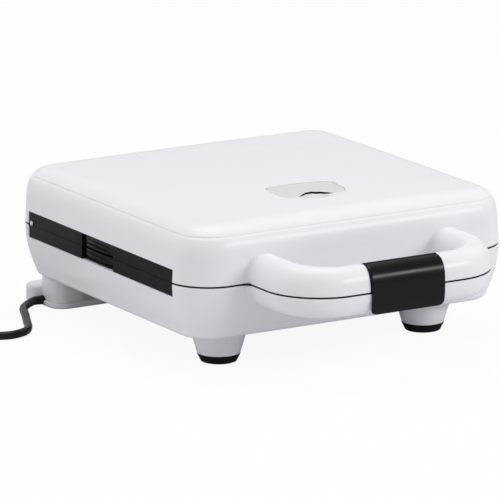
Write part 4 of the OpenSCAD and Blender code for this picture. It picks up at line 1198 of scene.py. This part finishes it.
@dataclass
class Latch:
    """The latch: a curved cover on the handle's front that turns on a pin, with a tongue for the base."""

    width: float = 69.2
    wall: float = 1.9
    bar_y: float = -178.5
    out: float = 15.7
    top: float = 22.0
    top_q: float = 3.2
    drop: float = 18.5
    full_drop: float = 1.6
    power: float = 2.6
    corner_r: float = 4.5
    barrel_r: float = 2.4
    barrel_bore: float = 1.55
    barrel_edge: float = 0.3
    tongue_y: Pair = (-13.8, -7.2)
    tongue_r: Pair = (31.9, 29.1)
    tongue_half: float = 15.0
    pivot: Pair = (-179.5, 96.0)

    def section(self) -> Array:
        """Outer section in Y and Z from the pin round to the lower edge.

        Above the parting plane it is a superellipse of power q = 2.6 in front of the bar. Below it is
        out (1 - (h / (1.6 drop))^q)^(1/q) at depth h, a taller superellipse that is cut off at the drop.

        Returns:
            Rows of Y and Z.
        """
        first = np.arccos(-((self.top_q / self.out) ** (self.power / 2)))
        across, up = superellipse(np.linspace(first, np.pi, 33), self.power)
        upper = xyz(self.bar_y + self.out * across, PARTING + self.top * up)
        h = self.drop * np.linspace(0, 1, 13)[1:]
        ahead = self.out * (1 - (h / (self.full_drop * self.drop)) ** self.power) ** (1 / self.power)
        return np.concatenate([upper, xyz(self.bar_y - ahead, PARTING - h)])

    def build(self) -> None:
        """Makes the cover with its barrel and tongue.

        The cover is the section carried along X; near the lower edge the width falls along a quarter circle.
        """
        profile = self.section()
        length = np.concatenate([[0], np.cumsum(np.linalg.norm(np.diff(profile, axis=0), axis=1))])
        left = length[-1] - length
        r = self.corner_r
        short = np.where(left < r, r - np.sqrt(np.maximum(r * r - (r - left) ** 2, 0)), 0)
        x = np.linspace(-1, 1, 41)[None] * (self.width / 2 - short)[:, None]
        cover = sheet(xyz(x, profile[:, :1], profile[:, 1:]))
        make_piece("Latch", [cover], Body.LATCH, BLACK_SATIN, "latch", wall=self.wall, bevel=0.6, flip=True)
        self.build_barrel()
        self.build_tongue()

    def build_barrel(self) -> None:
        """The barrel on the pin: rings about the pivot, with a bore and chamfered ends."""
        angle = np.linspace(0, 2 * np.pi, 33)[:-1]
        half = self.width / 2 - 0.1
        r, bore, cut = self.barrel_r, self.barrel_bore, self.barrel_edge
        radius = np.array([bore, r - cut, r, r, r - cut, bore, bore])[:, None]
        place = np.array([-half, -half, cut - half, half - cut, half, half, -half])[:, None]
        rows = xyz(place, np.cos(angle) * radius + self.pivot[0], np.sin(angle) * radius + self.pivot[1])
        make_piece("Latch_barrel", [sheet(rows, True)], Body.LATCH, BLACK_SATIN)

    def build_tongue(self) -> None:
        """The tongue: a strip between two arcs about the pivot, carried along X."""
        low, high = self.tongue_y
        y = low + (high - low) * np.linspace(0, 1, 13)
        outer, inner = (xyz(y, -np.sqrt(r**2 - y**2)) for r in self.tongue_r)
        loop = np.concatenate([outer, inner[::-1]]) + np.array(self.pivot)
        rows = xyz(self.tongue_half * np.array([[-1], [1]]), loop[:, 0], loop[:, 1])
        make_piece("Latch_tongue", [solid(rows)], Body.LATCH, BLACK_SATIN, bevel=0.3)


@dataclass
class Plates:
    """Lift-out baking plates: a rim round a field of pockets for two by two slices cut corner to corner."""

    width: float = 268.0
    depth: float = 244.0
    rim: float = 9.0
    ridge: float = 7.0
    pocket: float = 12.0
    slope: float = 8.5
    blend: float = 7.0
    corner_r: float = 14.0
    wall: float = 2.2
    grid: tuple[int, int] = (205, 225)

    def inside(self, *sides: Array) -> Array:
        """Distance to a pocket's nearest side, blended smoothly: minus the log of the sum of exponentials.

        Args:
            sides: distance to each side.
        Returns:
            The blended distance.
        """
        return -np.log(np.exp(-np.stack(sides) * (6 / self.blend)).sum(axis=0)) / (6 / self.blend)

    def field_z(self, xy: Array) -> Array:
        """Height of the plate's face, which falls into the pockets.

        In each quarter the point is mirrored to one cell. A pocket is a triangle; the blended distance to its
        nearest side is turned into depth by a slope with rounded ends.

        Args:
            xy: plan points from the plate's middle.
        Returns:
            Their heights, 0 on the ribs.
        """
        cw = (self.width - 2 * self.rim + self.ridge) / 2
        cd = (self.depth - 2 * self.rim + self.ridge) / 2
        w, d = cw - self.ridge, cd - self.ridge
        px = np.abs(xy[..., 0]) - cw / 2
        py = np.abs(xy[..., 1]) - cd / 2
        diag = (px * d - py * w) / math.hypot(w, d)
        right = self.inside(diag - self.ridge / 2, w / 2 - px, d / 2 + py)
        left = self.inside(-diag - self.ridge / 2, w / 2 + px, d / 2 - py)
        return -self.pocket * smooth(np.maximum(right, left) / self.slope)

    def face(self) -> Array:
        """Rows of the plate's face: each row's width follows the rounded corners.

        Returns:
            Array of rows, columns and three values.
        """
        rows, cols = self.grid
        v = np.linspace(-1, 1, rows) * self.depth / 2
        over = np.maximum(np.abs(v) - (self.depth / 2 - self.corner_r), 0)
        half = self.width / 2 - self.corner_r + np.sqrt(np.maximum(self.corner_r**2 - over**2, 0))
        xy = xyz(np.linspace(-1, 1, cols)[None] * half[:, None], v[:, None])
        return lifted(xy, self.field_z(xy))

    def flange(self) -> Array:
        """Rows of the flange that goes 6.7 down round the plate's outline.

        Returns:
            Array of rows, points and three values.
        """
        ring = rounded_outline(self.width, self.depth, self.corner_r, 10)
        height = np.array([0.0, -0.15, -0.6, -6.7, -6.7, -2.0])
        return lifted(drawn_in(ring, (0.5, 0.1, 0.0, 0.0, 2.4, 2.4)), height[:, None])

    def build(self, name: str, up: bool, body: Body, *nodes: str) -> None:
        """Makes one plate with its flange.

        Args:
            name: name of the piece.
            up: whether its face points up, as the lower plate's does.
            body: the body that it rides on.
            nodes: the CAD nodes that it replaces.
        """
        sign = 1.0 if up else -1.0
        face, flange = (
            rows * np.array([1, 1, sign]) + np.array([0, MID_Y, PARTING - 0.2 * sign])
            for rows in (self.face(), self.flange())
        )
        make_piece(name, [sheet(face)], body, NONSTICK, *nodes, wall=self.wall, flip=not up, sharp_deg=50)
        make_piece(name + "_flange", [sheet(flange, True)], body, NONSTICK)


# ---------------------------------------------------------------- small pieces


@dataclass
class UnderGear:
    """What the toaster stands on: rubber pads and the lead store with drum, flange, lobes and end walls."""

    middle_y: float = 168.0
    lobe_mid: Pair = (120.5, 186.5)
    end_mid: Pair = (117.5, 165.0)
    boss: tuple[Pair, ...] = ((7.0, -127.0), (7.5, -126.5), (7.5, -110.0))
    boss_y: float = 172.0
    boss_z: float = 4.6

    def pads(self) -> None:
        """Rubber pads: a short cone with rounded edges and a shallow dish in its foot."""
        profile = np.array(
            [[0.1, 0.9], [6, 0.8], [9.5, 0.5], [12, 0.02], [14.2, 0.0], [14.8, 0.25], [15.05, 0.8],
             [17.5, 5.6], [17.8, 6.2], [17.8, 7.0], [17.5, 7.2], [5, 7.2], [5, 10.8], [0.1, 10.8]]
        )  # fmt: skip
        parts = [revolve(profile, foot) for foot in FEET]
        make_piece("Foot_pads", parts, Body.BASE, RUBBER, "foot_pads")

    def store(self) -> None:
        """Lead store: slabs for flange, drum, lobes and end walls, and a boss round the gland."""
        middle = (0, self.middle_y)
        parts = [
            slab(rounded_outline(270, 42, 15, centre=middle), 0.0, 5.0, 1.6),
            slab(rounded_outline(244, 24, 9, centre=middle), 1.0, 30.0, 0.3),
        ]
        for s in (-1, 1):
            lobe = rounded_outline(40, 21, 10, centre=(s * self.lobe_mid[0], self.lobe_mid[1]))
            end = rounded_outline(32, 34, 11, centre=(s * self.end_mid[0], self.end_mid[1]))
            parts += [slab(lobe, 0.0, 16.0, 3.0, 6), slab(end, 4.5, 25.0, 2.0, 5)]
        angle = np.linspace(0, 2 * np.pi, 48, endpoint=False)
        radius, x = np.array(self.boss).T[..., None]
        y = self.boss_y + radius * np.cos(angle)
        parts.append(solid(xyz(x, y, np.maximum(self.boss_z + radius * np.sin(angle), 0.02))))
        make_piece("Lead_store", parts, Body.BASE, WHITE_SHELL, "lead_store")


@dataclass
class ReleaseTabs:
    """Finger tabs that free the plates: a plate in the recess with two curved lips and a tongue."""

    x0: float = -153.7
    back: float = 1.6
    wall: float = 2.4
    lip_r: float = 165.0
    lip_t: float = 2.8
    mid_y: float = 41.5
    half_len: float = 25.1
    low_z: float = 65.7
    top_z: float = 75.4
    tongue_size: Pair = (14.7, 20.0)
    tongue_x: float = -142.95
    tongue_z: Pair = (72.2, 74.2)

    def lip(self, low: float) -> Part:
        """A lip with rounded edges: its outer edge is an arc of radius 165, its inner edge is straight.

        Args:
            low: its lower face.
        Returns:
            The solid.
        """
        y = np.linspace(self.half_len, -self.half_len, 41)
        edge = xyz(self.x0 + self.lip_r - np.sqrt(self.lip_r**2 - y**2), y)
        inner = xyz(self.x0 + self.back + self.wall, -y)
        outline = np.concatenate([edge, inner]) + np.array([0, self.mid_y])
        return slab(outline, low, low + self.lip_t, 0.9, 5)

    def build(self, name: str, up: bool, body: Body, node: str) -> None:
        """Makes one tab.

        Args:
            name: name of the piece.
            up: whether it belongs to the lower half, whose lip is at the top.
            body: the body that it rides on.
            node: the CAD node that it replaces.
        """
        middle = (self.x0 + self.back + self.wall / 2, self.mid_y)
        plate = rounded_outline(self.wall, 2 * self.half_len, 0.6, 3, middle)
        tongue = rounded_outline(*self.tongue_size, 0.6, 3, (self.tongue_x, MID_Y))
        parts = [
            self.lip(self.top_z - self.lip_t),
            self.lip(self.top_z - 2 * self.lip_t - 1),
            slab(plate, self.low_z, self.top_z, 0.5),
            slab(tongue, *self.tongue_z, 0.3),
        ]
        if not up:
            parts = [(np.array([0, 0, 2 * PARTING]) + p * np.array([1, 1, -1]), q, c) for p, q, c in parts]
        make_piece(name, parts, body, BLACK_GLOSS, node)


@dataclass
class WindowPane:
    """The indicator window: a domed pane that fills the opening, and a black band round it that is painted
    shade of the gap.
    """

    shape: WindowShape
    edge: tuple[Pair, ...] = ((0.65, 2.9), (0.65, 0.75), (0.8, 0.42), (1.2, 0.3))
    shares: tuple[float, ...] = (0.85, 0.6, 0.35, 0.12)
    # Draw-in and depth of the black band's outline: painted shade in the gap between pane and opening.
    band: tuple[Pair, ...] = ((0.38, 0.42), (0.38, 2.9), (0.64, 2.9), (0.64, 0.42), (0.38, 0.42))

    def rims(self, pairs: Sequence[Pair]) -> Array:
        """Rows that follow the opening's outline.

        Args:
            pairs: how far each row is drawn in and how deep it lies under the lid's crown.
        Returns:
            Array of rows, points and three values.
        """
        angle = np.linspace(-np.pi, np.pi, 181)[:-1]
        return np.array([self.shape.under(self.shape.points(angle, draw), drop) for draw, drop in pairs])

    def build(self) -> None:
        """Makes the pane and the black band of painted shade round it.

        The pane's outline is the opening's, drawn in by 0.65. Its top lies 0.3 under the lid's crown, without
        the scoop, and its edge reaches 2.9 under it. The black band is a thin closed band between pane and
        opening:
        painted shade that stands for the shadow in the gap.
        """
        rows = self.rims(self.edge)
        mid = np.array(self.shape.centre)
        inner = [self.shape.under(mid + (rows[-1, :, :2] - mid) * t, self.edge[-1][1]) for t in self.shares]
        pane = solid(np.concatenate([rows, inner]))
        make_piece("Indicator_window", [pane], Body.LID, WINDOW, "indicator_window")
        # Black band in the gap round the pane, in the black nylon finish: painted shade of the gap.
        make_piece("Window_gap_shade", [sheet(self.rims(self.band), True)], Body.LID, BLACK_GLOSS)


@dataclass
class SideStuds:
    """Bright domed studs in the side bands: a spherical cap on a short stem, turned about X."""

    radius: float = 2.3
    dome: float = 0.6
    x: float = 154.0
    y: float = 153.5
    z: float = 77.4
    stem: tuple[Pair, ...] = ((1.0, -1.0), (1.0, 0.2), (2.1, 0.2), (2.3, 0.35))

    def build(self) -> None:
        """Makes both studs."""
        t = np.radians(np.linspace(0, 88, 13))
        cap = xyz(self.radius * np.cos(t), self.stem[-1][1] + self.dome * np.sin(t))
        points, quads, caps = revolve(np.concatenate([np.array(self.stem), cap]), (0, 0, 0), 40)
        across, up, out = points.T
        parts = [(xyz(s * (self.x + out), self.y + across, self.z + up), quads, caps) for s in (-1, 1)]
        make_piece("Side_studs", parts, Body.LID, ZINC, "side_studs")


# ---------------------------------------------------------------- studio


@dataclass
class Studio:
    """Camera at the photograph's place, pale floor, soft lamps and a white background."""

    turn_deg: float = 31.068
    tilt_deg: float = 13.776
    place: tuple[float, float, float] = (-2300.16, -3764.31, 1148.64)
    lens: float = 393.0
    target_z: float = 0.08
    world_strength: float = 0.53
    floor_half: float = 6.0
    floor_paint: str = "#DADADD"
    glow_share: float = 0.9
    glow_strength: float = 1.02

    def camera(self) -> None:
        """Makes the camera: its axes are the right, up and backward directions of the fitted view."""
        t, e = math.radians(self.turn_deg), math.radians(self.tilt_deg)
        ct, st, ce, se = math.cos(t), math.sin(t), math.cos(e), math.sin(e)
        data = bpy.data.cameras.new("Camera")
        data.lens = self.lens
        data.sensor_width = 36
        data.clip_start, data.clip_end = 0.1, 100
        cam = put("Camera", data)
        axes = ((ct, -st, 0), (st * se, ct * se, ce), (-st * ce, -ct * ce, se))
        aim(cam, axes, [v * MM for v in self.place])
        bpy.context.scene.camera = cam

    def lamp(self, name: str, place: Sequence[float], size: Pair, power: float) -> None:
        """A rectangular area lamp that points at the toaster.

        Args:
            name: name of the lamp.
            place: its place in metres.
            size: its level edge and its other edge in metres.
            power: its power in watts.
        """
        data = bpy.data.lights.new(name, "AREA")
        data.shape = "RECTANGLE"
        data.size, data.size_y = size
        data.energy = power
        obj = put(name, data)
        z = np.array(place) - np.array([0, 0, self.target_z])
        z /= np.linalg.norm(z)
        x = np.cross([0, 0, 1.0], z)
        x /= np.linalg.norm(x)
        aim(obj, (x, np.cross(z, x), z), place)

    def world(self) -> None:
        """World: plain grey light on the object, white where it is seen directly."""
        world = bpy.data.worlds.new("World")
        bpy.context.scene.world = world
        tree = empty_tree(world)
        seen = seen_directly(tree)
        light, white = (
            add(tree, "Background", {"Color": srgb("#FFFFFF"), "Strength": strength}).outputs[0]
            for strength in (self.world_strength, 1.0)
        )
        mix = add(tree, "MixShader", links={0: seen, 1: light, 2: white})
        add(tree, "OutputWorld", links={"Surface": mix.outputs[0]})

    def floor(self) -> None:
        """Floor: pale paint that takes shadows; where it is seen directly, 0.9 of it is a white glow."""
        mesh = bpy.data.meshes.new("Floor")
        far = self.floor_half
        mesh.from_pydata([(-far, -far, 0), (far, -far, 0), (far, far, 0), (-far, far, 0)], [], [(0, 1, 2, 3)])
        floor = put("Floor", mesh)
        floor.location.z = -0.0004
        mat = bpy.data.materials.new("Painted_board_white")
        tree = empty_tree(mat)
        share = add(tree, "Math", {"operation": "MULTIPLY", 1: self.glow_share}, {0: seen_directly(tree)})
        paint = add(tree, "BsdfDiffuse", {"Color": srgb(self.floor_paint)})
        glow = add(tree, "Emission", {"Color": srgb("#FFFFFF"), "Strength": self.glow_strength})
        mix = add(tree, "MixShader", links={0: share.outputs[0], 1: paint.outputs[0], 2: glow.outputs[0]})
        add(tree, "OutputMaterial", links={"Surface": mix.outputs[0]})
        mesh.materials.append(mat)

    def build(self) -> None:
        """Sets the view transform and makes lamps and surroundings."""
        bpy.context.scene.view_settings.view_transform = "Standard"
        self.lamp("Front_box", (1.5, -2.4, 1.2), (1.7, 0.45), 28.0)
        self.lamp("Left_box", (-2.4, 0.7, 1.0), (2.4, 2.0), 14.0)
        self.lamp("Top_box", (0.1, 0.3, 2.4), (1.8, 1.8), 26.0)
        self.world()
        self.floor()


# ---------------------------------------------------------------- the whole


def dress(frame: dict) -> None:
    """Gives each CAD node that stays its material.
    """
    for finish, nodes in KEPT.items():
        for node in nodes:
            obj = frame["nodes"][node]
            obj.data.materials.clear()
            obj.data.materials.append(finish.material())
            LOG.info("%s: dressed as %s", node, finish.name)


def main() -> None:
    """Builds the pieces in order: camera and lead first, then shells, latch, plates and small pieces."""
    logging.basicConfig(level=logging.INFO, format="%(message)s")
    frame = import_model()
    studio = Studio()
    studio.camera()
    MainsLead().build()
    plan = BodyPlan()
    window = WindowShape()
    LidShell(plan, window).build()
    base = BaseShell(plan)
    base.build()
    base.cones()
    handle = Handle()
    handle.build_upper()
    handle.build_ends()
    handle.build_lower()
    Latch().build()
    plates = Plates()
    plates.build("Lower_plate", True, Body.BASE, "lower_plate", "lower_floors")
    plates.build("Upper_plate", False, Body.LID, "upper_plate", "upper_floors")
    gear = UnderGear()
    gear.pads()
    gear.store()
    tabs = ReleaseTabs()
    tabs.build("Lower_release_tab", True, Body.LOWER_TAB, "lower_release_tab")
    tabs.build("Upper_release_tab", False, Body.UPPER_TAB, "upper_release_tab")
    WindowPane(window).build()
    SideStuds().build()
    dress(frame)
    studio.build()


if __name__ == "__main__":
    main()
